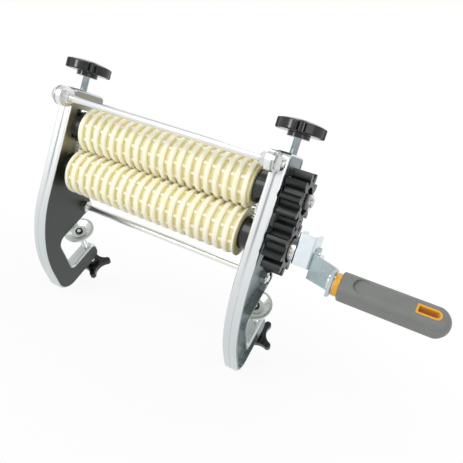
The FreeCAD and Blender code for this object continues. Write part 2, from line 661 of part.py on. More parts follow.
def clamp_screw():
    """Return the right clamp screw: a neck through the pad, a collar behind it and the shank."""
    collar_start = PAD_BACK + FACE_PLAY
    neck = rod_z(CLAMP_NECK_RADIUS, NECK_TOP - CLAMP_RING_HEIGHT, collar_start, 0, 0)
    collar = rod_z(CLAMP_COLLAR_RADIUS, collar_start, collar_start + CLAMP_COLLAR_HEIGHT, 0, 0)
    shank_end = CLAMP_HUB_START + CLAMP_HUB_SEAT
    shank = rod_z(CLAMP_SCREW_RADIUS, collar_start + CLAMP_COLLAR_HEIGHT, shank_end, 0, 0)
    return on_screw_axis(neck.fuse(collar).fuse(shank).removeSplitter())


def clamp_pad_ring():
    """Return the right pad's retaining ring on the screw's neck, inside the dish."""
    low = NECK_TOP - CLAMP_RING_HEIGHT
    ring = rod_z(CLAMP_RING_RADIUS, low, NECK_TOP, 0, 0)
    return on_screw_axis(ring.cut(rod_z(CLAMP_NECK_RADIUS, low, NECK_TOP, 0, 0)))


def star_outline(height, turn):
    """Return the star knob's outline at a height: round tips joined smoothly by hollow arcs."""
    step = 2 * math.pi / STAR_ARMS
    shoulder = STAR_REACH - STAR_TIP_RADIUS
    hollow = shoulder * math.tan(step / 2) - STAR_TIP_RADIUS
    waist = shoulder / math.cos(step / 2) - hollow

    def at(angle, along, across):
        x = along * math.cos(angle) - across * math.sin(angle)
        y = along * math.sin(angle) + across * math.cos(angle)
        return vec(x, y, height)

    edges = []
    for arm in range(STAR_ARMS):
        here = math.radians(turn) + arm * step
        tip_start = at(here, shoulder, -STAR_TIP_RADIUS)
        tip_end = at(here, shoulder, STAR_TIP_RADIUS)
        next_tip = at(here + step, shoulder, -STAR_TIP_RADIUS)
        edges.append(Part.Arc(tip_start, at(here, STAR_REACH, 0), tip_end).toShape())
        edges.append(Part.Arc(tip_end, at(here + step / 2, waist, 0), next_tip).toShape())
    return Part.Wire(edges)


def clamp_knob(turn):
    """Return the right clamp knob: a star on a round hub, with its first arm at the given angle."""
    end = CLAMP_HUB_START + CLAMP_HUB_HEIGHT
    low = end - STAR_HEIGHT
    star = Part.Face(star_outline(low, turn)).extrude(vec(0, 0, STAR_HEIGHT))
    star = star.makeFillet(STAR_ROUNDING, [edge for edge in star.Edges if not is_upright(edge)])
    hub = rod_z(CLAMP_HUB_RADIUS, CLAMP_HUB_START, low, 0, 0)
    bore = rod_z(CLAMP_SCREW_RADIUS, CLAMP_HUB_START, CLAMP_HUB_START + CLAMP_HUB_SEAT, 0, 0)
    return on_screw_axis(star.fuse(hub).cut(bore))


def tie_rod(place):
    """Return a tie rod across both plates."""
    reach = WEB_OUTER + ROD_NUT_HEIGHT + ROD_END
    return rod_x(ROD_RADIUS, -reach, reach, *place)


def tie_rod_nuts():
    """Return the nuts on both sides of both plates, on both tie rods."""
    nuts = []
    for place in (TOP_ROD, LOWER_ROD):
        for start in (PLATE_INNER - ROD_NUT_HEIGHT, WEB_OUTER):
            nut = nut_x(ROD_NUT_FLATS, start, start + ROD_NUT_HEIGHT, place[0], place[1], ROD_RADIUS)
            nuts += [nut, mirrored(nut)]
    return Part.makeCompound(nuts)


def upper_shaft():
    """Return the upper shaft with its threaded gear end."""
    shaft = rod_x(SHAFT_RADIUS, -PLATE_OUTER, GEAR_FACE, ROLLER_AXIS_Y, UPPER_AXIS_Z)
    thread_end = END_NUT_END + END_THREAD_SHOWN
    thread = rod_x(END_THREAD_RADIUS, GEAR_FACE, thread_end, ROLLER_AXIS_Y, UPPER_AXIS_Z)
    return shaft.fuse(thread).cut(gear_key(UPPER_AXIS_Z, UPPER_TOOTH_TURN))


def shaft_square(width, start, end):
    """Return a square stretch of the lower shaft."""
    half = width / 2
    return block(start, end, ROLLER_AXIS_Y - half, ROLLER_AXIS_Y + half,
                 LOWER_AXIS_Z - half, LOWER_AXIS_Z + half)


def lower_shaft():
    """Return the lower shaft with its square crank end and tapped hole."""
    shaft = rod_x(SHAFT_RADIUS, -PLATE_OUTER, BRACKET_START, ROLLER_AXIS_Y, LOWER_AXIS_Z)
    square = shaft_square(SQUARE_END, BRACKET_START, FOOT_START)
    tang = shaft_square(ARM_SQUARE, FOOT_START, FOOT_END)
    hole = rod_x(BOLT_RADIUS, FOOT_END - BOLT_DEPTH, FOOT_END, ROLLER_AXIS_Y, LOWER_AXIS_Z)
    return shaft.fuse(square).fuse(tang).cut(hole).cut(gear_key(LOWER_AXIS_Z, LOWER_TOOTH_TURN))


def crank_bracket():
    """Return the bent bracket that stands the crank off the gear, open at the back."""
    front = ROLLER_AXIS_Y - BRACKET_FRONT
    back = ROLLER_AXIS_Y + BRACKET_BACK
    low = LOWER_AXIS_Z - BRACKET_BELOW
    high = LOWER_AXIS_Z + BRACKET_ABOVE
    body = block(BRACKET_START, BRACKET_END, front, back, low, high)
    inside = block(BRACKET_START + BRACKET_SHEET, BRACKET_END - BRACKET_SHEET,
                   front + BRACKET_SHEET, back, low, high)
    square = shaft_square(SQUARE_END, BRACKET_START, BRACKET_END)
    bends = [edge for edge in body.Edges if is_upright(edge) and edge.CenterOfMass.y < ROLLER_AXIS_Y]
    body = body.makeFillet(BRACKET_BEND, bends)
    return body.cut(inside).cut(square)


def crank_arm():
    """Return the bent crank arm: a foot on the bracket, a slanted tapering strap and an end lip."""
    foot_back = ROLLER_AXIS_Y + ARM_FOOT_BACK
    foot_front = ROLLER_AXIS_Y - ARM_FOOT_FRONT
    lip_back = GRIP_Y + ARM_LIP_HALF
    lip_front = GRIP_Y - ARM_LIP_HALF
    turn = math.atan2(LIP_START - FOOT_START, foot_front - lip_back)
    bend = ARM_SHEET * math.tan(turn / 2)
    inner = [(FOOT_START, foot_back), (FOOT_START, foot_front), (LIP_START, lip_back), (LIP_START, lip_front)]
    outer = [(LIP_END, lip_front), (LIP_END, lip_back + bend)]
    outer += [(FOOT_END, foot_front + bend), (FOOT_END, foot_back)]
    points = [vec(x, y, LOWER_AXIS_Z - ARM_BELOW) for x, y in inner + outer]
    strip = Part.Face(Part.makePolygon(points + points[:1])).extrude(vec(0, 0, ARM_BELOW + ARM_ABOVE))
    top_foot = LOWER_AXIS_Z + ARM_ABOVE
    top_neck = LOWER_AXIS_Z + ARM_NECK_ABOVE
    low_foot = LOWER_AXIS_Z - ARM_BELOW
    low_lip = GRIP_Z - ARM_LIP_HALF
    top_lip = GRIP_Z + ARM_LIP_HALF
    side_view = [(foot_back, low_foot), (foot_front, low_foot), (lip_back, low_lip), (lip_front, low_lip)]
    side_view += [(lip_front, top_lip), (lip_back, top_lip), (foot_front, top_neck)]
    side_view += [(foot_front + ARM_ABOVE - ARM_NECK_ABOVE, top_foot), (foot_back, top_foot)]
    corners = [vec(0, y, z) for y, z in side_view]
    shape = strip.common(prism_x(Part.makePolygon(corners + corners[:1]), FOOT_START, LIP_END))
    square = shaft_square(ARM_SQUARE, FOOT_START, FOOT_END)
    return shape.cut(square).cut(rod_x(SPINDLE_RADIUS, LIP_START, LIP_END, GRIP_Y, GRIP_Z))


def crank_bolt():
    """Return the bolt that holds the arm on the shaft's square end."""
    head_start = FOOT_END + BOLT_WASHER_HEIGHT
    head = hex_x(BOLT_HEAD_FLATS, head_start, head_start + BOLT_HEAD_HEIGHT, ROLLER_AXIS_Y, LOWER_AXIS_Z)
    shank = rod_x(BOLT_RADIUS, FOOT_END - BOLT_DEPTH, head_start, ROLLER_AXIS_Y, LOWER_AXIS_Z)
    return head.fuse(shank)


def handle_spindle():
    """Return the spindle riveted through the arm's lip, on which the grip turns."""
    rivet = rod_x(SPINDLE_RIVET_RADIUS, LIP_START - SPINDLE_RIVET_HEIGHT, LIP_START, GRIP_Y, GRIP_Z)
    flange = rod_x(SPINDLE_FLANGE_RADIUS, LIP_END, FLANGE_END, GRIP_Y, GRIP_Z)
    pin = rod_x(SPINDLE_RADIUS, LIP_START, SPINDLE_END, GRIP_Y, GRIP_Z)
    return rivet.fuse(flange).fuse(pin).removeSplitter()


def grip_frame(shape):
    """Turn a piece built with its face to the front about the grip's axis."""
    placed = shape.copy()
    placed.rotate(vec(0, GRIP_Y, GRIP_Z), X_AXIS, -GRIP_TURN)
    return placed


def hang_slot(length, width):
    """Return the cutter of the hang slot, square to the grip's face, with a round outer end."""
    inner_end = SLOT_MIDDLE - length / 2
    round_middle = SLOT_MIDDLE + (length - width) / 2
    front = GRIP_Y - 2 * GRIP_REACH
    back = GRIP_Y + 2 * GRIP_REACH
    cutter = block(inner_end, round_middle, front, back, GRIP_Z - width / 2, GRIP_Z + width / 2)
    outer_end = Part.makeCylinder(width / 2, back - front, vec(round_middle, front, GRIP_Z), Y_AXIS)
    return grip_frame(cutter.fuse(outer_end).removeSplitter())


def grip_solid():
    """Return the grip's outer shape: a rounded square bar with an eased neck and a domed end."""
    corners = [(GRIP_Y - GRIP_HALF, GRIP_Z - GRIP_HALF), (GRIP_Y + GRIP_HALF, GRIP_Z - GRIP_HALF),
               (GRIP_Y + GRIP_HALF, GRIP_Z + GRIP_HALF), (GRIP_Y - GRIP_HALF, GRIP_Z + GRIP_HALF)]
    section = rounded_outline([corner + (GRIP_CORNER,) for corner in corners])
    bar = prism_x(section, GRIP_START, GRIP_END)
    neck = [edge for edge in bar.Edges if edge.BoundBox.XMax < SLOT_MIDDLE]
    bar = bar.makeFillet(GRIP_NECK_ROUNDING, neck)
    dome_middle = GRIP_END - GRIP_REACH
    dome = Part.makeSphere(GRIP_REACH, vec(dome_middle, GRIP_Y, GRIP_Z))
    dome = dome.fuse(rod_x(GRIP_REACH, GRIP_START, dome_middle, GRIP_Y, GRIP_Z))
    return grip_frame(bar.common(dome))


def core_solid():
    """Return the hard core: the collar, the tube round the spindle and the hang slot's liner."""
    collar = rod_x(COLLAR_RADIUS, COLLAR_START, GRIP_START, GRIP_Y, GRIP_Z)
    tube = rod_x(CORE_RADIUS, GRIP_START, SLOT_MIDDLE, GRIP_Y, GRIP_Z)
    liner = hang_slot(HANG_SLOT_LENGTH + 2 * HANG_SLOT_LINER, HANG_SLOT_WIDTH + 2 * HANG_SLOT_LINER)
    return collar.fuse(tube).fuse(liner.common(grip_solid()))


def handle_core():
    """Return the hard core with its spindle bore and hang slot."""
    bore = rod_x(SPINDLE_RADIUS + RUNNING_PLAY, COLLAR_START, SPINDLE_END + END_PLAY, GRIP_Y, GRIP_Z)
    return core_solid().cut(bore).cut(hang_slot(HANG_SLOT_LENGTH, HANG_SLOT_WIDTH)).removeSplitter()


def handle_grip():
    """Return the soft grip over the core, with a thumb rest that deepens toward the neck."""
    lean = math.atan2(THUMB_REST_DEPTH, 2 * THUMB_REST_RADIUS)
    middle = vec(GRIP_START + THUMB_REST_FROM_NECK, GRIP_Y - GRIP_HALF + THUMB_REST_DEPTH / 2, GRIP_Z)
    outward = vec(-math.sin(lean), -math.cos(lean), 0)
    rest = Part.makeCylinder(THUMB_REST_RADIUS, GRIP_REACH, middle, outward)
    slot = hang_slot(HANG_SLOT_LENGTH, HANG_SLOT_WIDTH)
    return grip_solid().cut(core_solid()).cut(slot).cut(grip_frame(rest))


def build():
    """Build every piece and write it under its name."""
    shaft_spot = (ROLLER_AXIS_Y, LOWER_AXIS_Z)
    upper_spot = (ROLLER_AXIS_Y, UPPER_AXIS_Z)
    lower_rings = [RING_PITCH * ring - ROLLER_HALF for ring in range(RING_COUNT + 1)]
    upper_rings = [place + RING_PITCH / 2 for place in lower_rings[:-1]]
    parts = {
        "top_tie_rod": tie_rod(TOP_ROD),
        "lower_tie_rod": tie_rod(LOWER_ROD),
        "tie_rod_nuts": tie_rod_nuts(),
        "upper_shaft": upper_shaft(),
        "upper_roller": roller(UPPER_AXIS_Z, upper_rings),
        "upper_gear": gear(UPPER_AXIS_Z, UPPER_TOOTH_TURN),
        "upper_gear_key": gear_key(UPPER_AXIS_Z, UPPER_TOOTH_TURN),
        "upper_gear_washer": ring_x(END_WASHER_RADIUS, END_THREAD_RADIUS, GEAR_FACE, END_NUT_START,
                                    *upper_spot),
        "upper_gear_nut": nut_x(END_NUT_FLATS, END_NUT_START, END_NUT_END, *upper_spot, END_THREAD_RADIUS),
        "lower_shaft": lower_shaft(),
        "lower_roller": roller(LOWER_AXIS_Z, lower_rings),
        "lower_gear": gear(LOWER_AXIS_Z, LOWER_TOOTH_TURN),
        "lower_gear_key": gear_key(LOWER_AXIS_Z, LOWER_TOOTH_TURN),
        "crank_spacer": ring_x(SPACER_RADIUS, SHAFT_RADIUS, GEAR_FACE, BRACKET_START, *shaft_spot),
        "crank_bracket": crank_bracket(),
        "crank_arm": crank_arm(),
        "crank_washer": ring_x(BOLT_WASHER_RADIUS, BOLT_RADIUS, FOOT_END, FOOT_END + BOLT_WASHER_HEIGHT,
                               *shaft_spot),
        "crank_bolt": crank_bolt(),
        "handle_spindle": handle_spindle(),
        "handle_core": handle_core(),
        "handle_grip": handle_grip(),
        "right_adjusting_knob": adjusting_knob(RIGHT_NOTCH_ANGLE),
        "left_adjusting_knob": mirrored(adjusting_knob(LEFT_NOTCH_ANGLE)),
        "right_clamp_knob": clamp_knob(RIGHT_STAR_ANGLE),
        "left_clamp_knob": mirrored(clamp_knob(LEFT_STAR_ANGLE)),
    }
    sided = {
        "side_plate": right_side_plate(),
        "lower_bearing": lower_bearing(),
        "upper_bearing": upper_bearing(),
        "return_spring": return_spring(),
        "adjusting_screw": adjusting_screw(),
        "clamp_pad": clamp_pad(),
        "clamp_pad_ring": clamp_pad_ring(),
        "clamp_screw": clamp_screw(),
    }
    for name, shape in sided.items():
        parts["right_" + name] = shape
        parts["left_" + name] = mirrored(shape)
    os.makedirs("parts", exist_ok=True)
    for name, shape in parts.items():
        shape.exportStep("parts/" + name + ".step")
        print(name, len(shape.Solids), shape.isValid(), round(shape.Volume, 1))


build()
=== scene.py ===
"""Looks of a hand-cranked roller machine with two ringed rollers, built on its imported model."""

import json
import logging
import math
from dataclasses import dataclass
from enum import Enum

import bmesh
import bpy
from mathutils import Matrix, Vector

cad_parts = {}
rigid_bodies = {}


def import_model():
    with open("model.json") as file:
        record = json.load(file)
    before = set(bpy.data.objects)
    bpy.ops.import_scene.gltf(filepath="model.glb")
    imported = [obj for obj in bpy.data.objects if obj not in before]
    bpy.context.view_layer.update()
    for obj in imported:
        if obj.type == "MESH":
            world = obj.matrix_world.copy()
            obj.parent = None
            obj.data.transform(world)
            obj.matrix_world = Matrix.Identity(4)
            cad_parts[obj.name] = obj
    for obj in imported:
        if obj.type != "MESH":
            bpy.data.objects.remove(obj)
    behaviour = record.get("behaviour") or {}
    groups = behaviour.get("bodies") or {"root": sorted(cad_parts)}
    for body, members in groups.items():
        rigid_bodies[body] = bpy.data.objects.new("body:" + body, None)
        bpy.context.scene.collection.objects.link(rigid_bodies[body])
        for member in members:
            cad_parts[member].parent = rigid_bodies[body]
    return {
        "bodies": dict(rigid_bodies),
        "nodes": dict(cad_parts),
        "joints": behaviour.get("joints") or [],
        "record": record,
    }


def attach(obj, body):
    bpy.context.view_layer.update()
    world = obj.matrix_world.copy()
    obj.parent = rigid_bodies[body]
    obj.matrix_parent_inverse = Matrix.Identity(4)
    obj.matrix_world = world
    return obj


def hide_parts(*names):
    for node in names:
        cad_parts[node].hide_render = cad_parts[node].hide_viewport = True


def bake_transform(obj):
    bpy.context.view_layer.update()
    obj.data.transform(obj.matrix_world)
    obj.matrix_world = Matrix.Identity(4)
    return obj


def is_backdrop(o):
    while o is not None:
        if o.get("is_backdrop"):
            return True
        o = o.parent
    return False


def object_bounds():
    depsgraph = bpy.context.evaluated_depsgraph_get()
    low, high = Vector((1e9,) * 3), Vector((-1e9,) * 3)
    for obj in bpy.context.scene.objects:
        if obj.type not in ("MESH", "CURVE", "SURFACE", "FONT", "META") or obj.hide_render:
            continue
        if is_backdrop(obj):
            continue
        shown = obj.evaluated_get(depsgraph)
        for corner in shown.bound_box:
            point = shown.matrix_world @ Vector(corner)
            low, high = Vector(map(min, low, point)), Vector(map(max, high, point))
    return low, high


MM = 0.001
FULL_TURN = 2 * math.pi
LOG = logging.getLogger("roller_machine")
# Numbers of the sockets of Mix and Random Value whose names repeat
FLOAT_A, FLOAT_B = 2, 3
COLOUR_A, COLOUR_B, COLOUR_OUT = 6, 7, 2
RANDOM_LOW, RANDOM_HIGH, RANDOM_OUT = 2, 3, 1


class Side(Enum):
    """The two ends of the machine, with the sign of their X."""

    LEFT = -1
    RIGHT = 1

    @property
    def word(self) -> str:
        """Return the word that starts this end's node and body names."""
        return self.name.lower()


class Pattern(Enum):
    """How a finish's marks run on its surface, as the noise's scale along each axis."""

    CLOUD = (1.0, 1.0, 1.0)
    ALONG_X = (0.02, 1.0, 1.0)
    ALONG_Z = (1.0, 1.0, 0.02)
    ROUND_X = (1.0, 0.02, 0.02)


def linear(colour: str) -> tuple[float, float, float, float]:
    """Turn an sRGB hex colour into linear values.

    Args:
        colour: six hex digits after a hash sign.

    Returns:
        Red, green, blue and an alpha of 1.
    """
    parts = [int(colour[k:k + 2], 16) / 255 for k in (1, 3, 5)]
    red, green, blue = [c / 12.92 if c <= 0.04045 else ((c + 0.055) / 1.055) ** 2.4 for c in parts]
    return red, green, blue, 1.0


def add_node(tree: bpy.types.NodeTree, kind: str, inputs: dict | None = None,
             **settings: object) -> bpy.types.Node:
    """Add a node with its settings, and link or set its inputs.

    Args:
        tree: the tree that gets the node.
        kind: the node's type name.
        inputs: for each input's name or number, a socket to link or a value to set.
        settings: the node's own properties.

    Returns:
        The new node.
    """
    node = tree.nodes.new(kind)
    for name, value in settings.items():
        setattr(node, name, value)
    for key, value in (inputs or {}).items():
        if isinstance(value, bpy.types.NodeSocket):
            tree.links.new(value, node.inputs[key])
        else:
            node.inputs[key].default_value = value
    return node


def smooth(mesh: bpy.types.Mesh, angle: float = 35.0) -> None:
    """Shade a mesh smooth, with edges sharper than an angle left crisp.

    Args:
        mesh: the mesh to shade.
        angle: the crease angle in degrees.
    """
    mesh.shade_smooth()
    mesh.set_sharp_from_angle(angle=math.radians(angle))


@dataclass(frozen=True)
class Finish:
    """A real material and how its surface was made, as one procedural material."""

    name: str
    slot: str
    colour: str
    roughness: float

    metallic = 0.0
    noise_detail = 3.0
    noise_roughness = 0.55
    # Most of a noise's values lie in this range, which is spread over the whole effect
    noise_range = (0.3, 0.7)
    # What the smoothest and the dullest places add to the roughness
    gloss_range = (-0.02, 0.03)

    def material(self) -> bpy.types.Material:
        """Make this finish's material once.

        Returns:
            The material.
        """
        found = bpy.data.materials.get(self.name)
        if found:
            return found
        material = bpy.data.materials.new(self.name)
        material.use_nodes = True
        tree = material.node_tree
        tree.nodes.clear()
        shader = add_node(tree, "ShaderNodeBsdfPrincipled", {
            "Base Color": linear(self.colour), "Roughness": self.roughness, "Metallic": self.metallic})
        add_node(tree, "ShaderNodeOutputMaterial", {"Surface": shader.outputs["BSDF"]})
        self.detail(tree, shader, add_node(tree, "ShaderNodeTexCoord").outputs["Object"])
        return material

    def detail(self, tree: bpy.types.NodeTree, shader: bpy.types.Node, place: bpy.types.NodeSocket) -> None:
        """Add the marks that the real surface shows.

        Args:
            tree: the material's tree.
            shader: its main shader.
            place: object coordinates in metres.
        """
        raise NotImplementedError

    def grain(self, tree: bpy.types.NodeTree, place: bpy.types.NodeSocket, size_mm: float,
              pattern: Pattern = Pattern.CLOUD) -> bpy.types.NodeSocket:
        """Add noise whose marks have a real size.

        Args:
            tree: the material's tree.
            place: object coordinates in metres.
            size_mm: the size of one mark across.
            pattern: how the marks run.

        Returns:
            The noise's value, from 0 to 1.
        """
        mapping = add_node(tree, "ShaderNodeMapping", {"Vector": place, "Scale": pattern.value})
        return add_node(tree, "ShaderNodeTexNoise", {
            "Vector": mapping.outputs["Vector"], "Scale": 1 / (size_mm * MM), "Detail": self.noise_detail,
            "Roughness": self.noise_roughness}).outputs["Fac"]

    def clouds(self, tree: bpy.types.NodeTree, value: bpy.types.NodeSocket,
               second: str) -> bpy.types.NodeSocket:
        """Let the finish's colour pass into another one in soft clouds.

        Args:
            tree: the material's tree.
            value: the noise that gives the clouds.
            second: the colour where the noise is high.

        Returns:
            The colour.
        """
        low, high = self.noise_range
        share = add_node(tree, "ShaderNodeMapRange", {"Value": value, "From Min": low, "From Max": high})
        return add_node(tree, "ShaderNodeMix", {
            "Factor": share.outputs["Result"], COLOUR_A: linear(self.colour), COLOUR_B: linear(second)},
            data_type="RGBA").outputs[COLOUR_OUT]

    def surface(self, tree: bpy.types.NodeTree, shader: bpy.types.Node, gloss: bpy.types.NodeSocket,
                height: bpy.types.NodeSocket, depth_mm: float) -> bpy.types.NodeSocket:
        """Let one noise change the gloss and one raise the surface.

        Args:
            tree: the material's tree.
            shader: its main shader.
            gloss: the noise that changes the roughness.
            height: the noise that raises the surface.
            depth_mm: how far a value of 1 raises it.

        Returns:
            The roughness.
        """
        low, high = self.noise_range
        smoother, rougher = self.gloss_range
        rough = add_node(tree, "ShaderNodeMapRange", {
            "Value": gloss, "From Min": low, "From Max": high, "To Min": self.roughness + smoother,
            "To Max": self.roughness + rougher}).outputs["Result"]
        tree.links.new(rough, shader.inputs["Roughness"])
        bump = add_node(tree, "ShaderNodeBump", {"Height": height, "Distance": depth_mm * MM})
        tree.links.new(bump.outputs["Normal"], shader.inputs["Normal"])
        return rough


@dataclass(frozen=True)
class PolishedAluminium(Finish):
    """Sand-cast aluminium, polished on its rims and rougher on the flats that face along the rollers, with
    painted shade and painted reflections in its colour.
    """

    # Heights and colours of the rims, in painted shade darker towards the bottom, and of the inner flats,
    # with painted shade low down and a painted olive reflection of the rollers higher up
    tones: tuple[tuple[float, str], ...]
    inner_shade_tones: tuple[tuple[float, str], ...]
    # Painted shade on the web and on the rim's outer flat
    outer_shade_colour: str
    dull_roughness: float
    # How far the inner flat, the web and the rim's flat lie from the machine's middle
    flats_mm: tuple[float, float, float]
    edge_mm: float
    # Between these places from front to back the ears' bright flats pass into the flats in painted shade
    ear_mm: tuple[float, float]
    # A painted grey reflection line round the rims: its middle and half width, and the heights over which it
    # fades in
    reflection_line_colour: str
    reflection_line_mm: tuple[float, float]
    reflection_line_fade_mm: tuple[float, float]

    metallic = 1.0
    gloss_range = (-0.03, 0.05)
    stroke_mm = 0.9
    stroke_depth_mm = 0.001

    def detail(self, tree: bpy.types.NodeTree, shader: bpy.types.Node, place: bpy.types.NodeSocket) -> None:
        """Keep the rims and the ears bright, with painted shade lower down and a painted reflection line, and
        paint shade and the rollers' reflection on the rougher flats.

        Args:
            tree: the material's tree.
            shader: its main shader.
            place: object coordinates in metres.
        """
        axes = add_node(tree, "ShaderNodeSeparateXYZ", {"Vector": place}).outputs
        out = add_node(tree, "ShaderNodeMath", {0: axes["X"]}, operation="ABSOLUTE").outputs[0]
        inner, web, rim = (self.near(tree, out, flat, self.edge_mm) for flat in self.flats_mm)
        outer = add_node(tree, "ShaderNodeMath", {0: web, 1: rim}, operation="MAXIMUM").outputs[0]
        level = add_node(tree, "ShaderNodeMath", {0: inner, 1: outer}, operation="MAXIMUM").outputs[0]
        front, back = self.ear_mm
        behind = add_node(tree, "ShaderNodeMapRange", {
            "Value": axes["Y"], "From Min": front * MM, "From Max": back * MM}).outputs["Result"]
        flat = add_node(tree, "ShaderNodeMath", {0: level, 1: behind}, operation="MULTIPLY").outputs[0]
        # Painted reflection: a grey line along the middle of the rims, fading in with height
        low, high = self.reflection_line_fade_mm
        share = add_node(tree, "ShaderNodeMapRange", {
            "Value": axes["Z"], "From Min": low * MM, "From Max": high * MM}).outputs["Result"]
        line = self.near(tree, out, *self.reflection_line_mm)
        reflection_line = add_node(tree, "ShaderNodeMath", {0: line, 1: share}, operation="MULTIPLY").outputs[0]
        # The rims' colour: painted shade darker towards the bottom, with the painted reflection line over it
        bright = add_node(tree, "ShaderNodeMix", {
            "Factor": reflection_line, COLOUR_A: self.rising(tree, axes["Z"], self.tones),
            COLOUR_B: linear(self.reflection_line_colour)}, data_type="RGBA").outputs[COLOUR_OUT]
        # Painted shade on the flats, with a painted olive reflection of the rollers on the inner ones
        shaded_flats = add_node(tree, "ShaderNodeMix", {
            "Factor": outer, COLOUR_A: self.rising(tree, axes["Z"], self.inner_shade_tones),
            COLOUR_B: linear(self.outer_shade_colour)}, data_type="RGBA").outputs[COLOUR_OUT]
        colour = add_node(tree, "ShaderNodeMix", {"Factor": flat, COLOUR_A: bright, COLOUR_B: shaded_flats},
                          data_type="RGBA")
        tree.links.new(colour.outputs[COLOUR_OUT], shader.inputs["Base Color"])
        strokes = self.grain(tree, place, self.stroke_mm, Pattern.ALONG_Z)
        polished = self.surface(tree, shader, strokes, strokes, self.stroke_depth_mm)
        rough = add_node(tree, "ShaderNodeMix", {
            "Factor": flat, FLOAT_A: polished, FLOAT_B: self.dull_roughness})
        tree.links.new(rough.outputs[0], shader.inputs["Roughness"])

    def near(self, tree: bpy.types.NodeTree, out: bpy.types.NodeSocket, middle_mm: float,
             half_mm: float) -> bpy.types.NodeSocket:
        """Find a plane that lies square to the rollers, at both ends of the machine.

        Args:
            tree: the material's tree.
            out: the distance from the machine's middle along the rollers, in metres.
            middle_mm: the plane's own distance.
            half_mm: how far from the plane its effect ends.

        Returns:
            1 on the plane, falling softly to 0.
        """
        beside = add_node(tree, "ShaderNodeMath", {0: out, 1: middle_mm * MM}, operation="SUBTRACT")
        away = add_node(tree, "ShaderNodeMath", {0: beside.outputs[0]}, operation="ABSOLUTE").outputs[0]
        return add_node(tree, "ShaderNodeMapRange", {
            "Value": away, "From Min": 0.0, "From Max": half_mm * MM, "To Min": 1.0, "To Max": 0.0},
            interpolation_type="SMOOTHSTEP").outputs["Result"]

    def rising(self, tree: bpy.types.NodeTree, height: bpy.types.NodeSocket,
               tones: tuple[tuple[float, str], ...]) -> bpy.types.NodeSocket:
        """Let tones pass into each other with height.

        Args:
            tree: the material's tree.
            height: the place's Z in metres.
            tones: heights in mm, from low to high, and the colour at each.

        Returns:
            The colour.
        """
        low, high = tones[0][0], tones[-1][0]
        share = add_node(tree, "ShaderNodeMapRange", {
            "Value": height, "From Min": low * MM, "From Max": high * MM}).outputs["Result"]
        ramp = add_node(tree, "ShaderNodeValToRGB", {"Fac": share})
        stops = ramp.color_ramp.elements
        for place, _ in tones[1:-1]:
            stops.new((place - low) / (high - low))
        for stop, (_, colour) in zip(stops, tones):
            stop.color = linear(colour)
        return ramp.outputs["Color"]


@dataclass(frozen=True)
class BrightMetal(Finish):
    """Steel with a bright skin: zinc plating, grinding marks or a drawn surface."""

    marks_mm: float
    pattern: Pattern
    second_colour: str

    metallic = 1.0
    cloud_mm = 8.0
    mark_depth_mm = 0.002

    def detail(self, tree: bpy.types.NodeTree, shader: bpy.types.Node, place: bpy.types.NodeSocket) -> None:
        """Let the marks change the gloss, and clouds the tint.

        Args:
            tree: the material's tree.
            shader: its main shader.
            place: object coordinates in metres.
        """
        tint = self.clouds(tree, self.grain(tree, place, self.cloud_mm), self.second_colour)
        tree.links.new(tint, shader.inputs["Base Color"])
        marks = self.grain(tree, place, self.marks_mm, self.pattern)
        self.surface(tree, shader, marks, marks, self.mark_depth_mm)


@dataclass(frozen=True)
class MattZinc(BrightMetal):
    """Thick passivated zinc: a dull crystalline skin that scatters light more than it mirrors it."""

    metallic = 0.0


@dataclass(frozen=True)
class TurnedNylon(Finish):
    """Cast nylon turned on a lathe: waxy cream crests, and painted olive shade on the groove floors."""

    second_colour: str
    groove_shade_colour: str
    groove_shade_mm: tuple[float, float]
    glow_mm: float
    axis_y_mm: float
    axis_z_mm: float

    gloss_range = (-0.05, 0.07)
    glow_weight = 0.6
    glow_radius = (1.0, 0.8, 0.35)
    cloud_mm = 14.0
    # Feed lines of a real cut are 0.1 mm apart; they are drawn 0.5 mm apart to show
    line_mm = 0.5
    line_depth_mm = 0.008

    def detail(self, tree: bpy.types.NodeTree, shader: bpy.types.Node, place: bpy.types.NodeSocket) -> None:
        """Tint the surface by its distance from the roller's axis, painting shade on the groove floors, and
        let light into it.

        Args:
            tree: the material's tree.
            shader: its main shader.
            place: object coordinates in metres.
        """
        shader.inputs["Subsurface Weight"].default_value = self.glow_weight
        shader.inputs["Subsurface Radius"].default_value = self.glow_radius
        shader.inputs["Subsurface Scale"].default_value = self.glow_mm * MM
        axes = add_node(tree, "ShaderNodeSeparateXYZ", {"Vector": place}).outputs
        across = add_node(tree, "ShaderNodeCombineXYZ", {"Y": axes["Y"], "Z": axes["Z"]}).outputs["Vector"]
        middle = (0.0, self.axis_y_mm * MM, self.axis_z_mm * MM)
        radius = add_node(tree, "ShaderNodeVectorMath", {0: across, 1: middle}, operation="DISTANCE")
        # Painted shade: the olive groove colour on the floor fades into the cream towards the crest
        floor, crest = self.groove_shade_mm
        height = add_node(tree, "ShaderNodeMapRange", {
            "Value": radius.outputs["Value"], "From Min": floor * MM, "From Max": crest * MM},
            interpolation_type="SMOOTHSTEP").outputs["Result"]
        cream = self.clouds(tree, self.grain(tree, place, self.cloud_mm), self.second_colour)
        colour = add_node(tree, "ShaderNodeMix", {
            "Factor": height, COLOUR_A: linear(self.groove_shade_colour), COLOUR_B: cream}, data_type="RGBA")
        tree.links.new(colour.outputs[COLOUR_OUT], shader.inputs["Base Color"])
        lines = self.grain(tree, place, self.line_mm, Pattern.ROUND_X)
        self.surface(tree, shader, lines, lines, self.line_depth_mm)


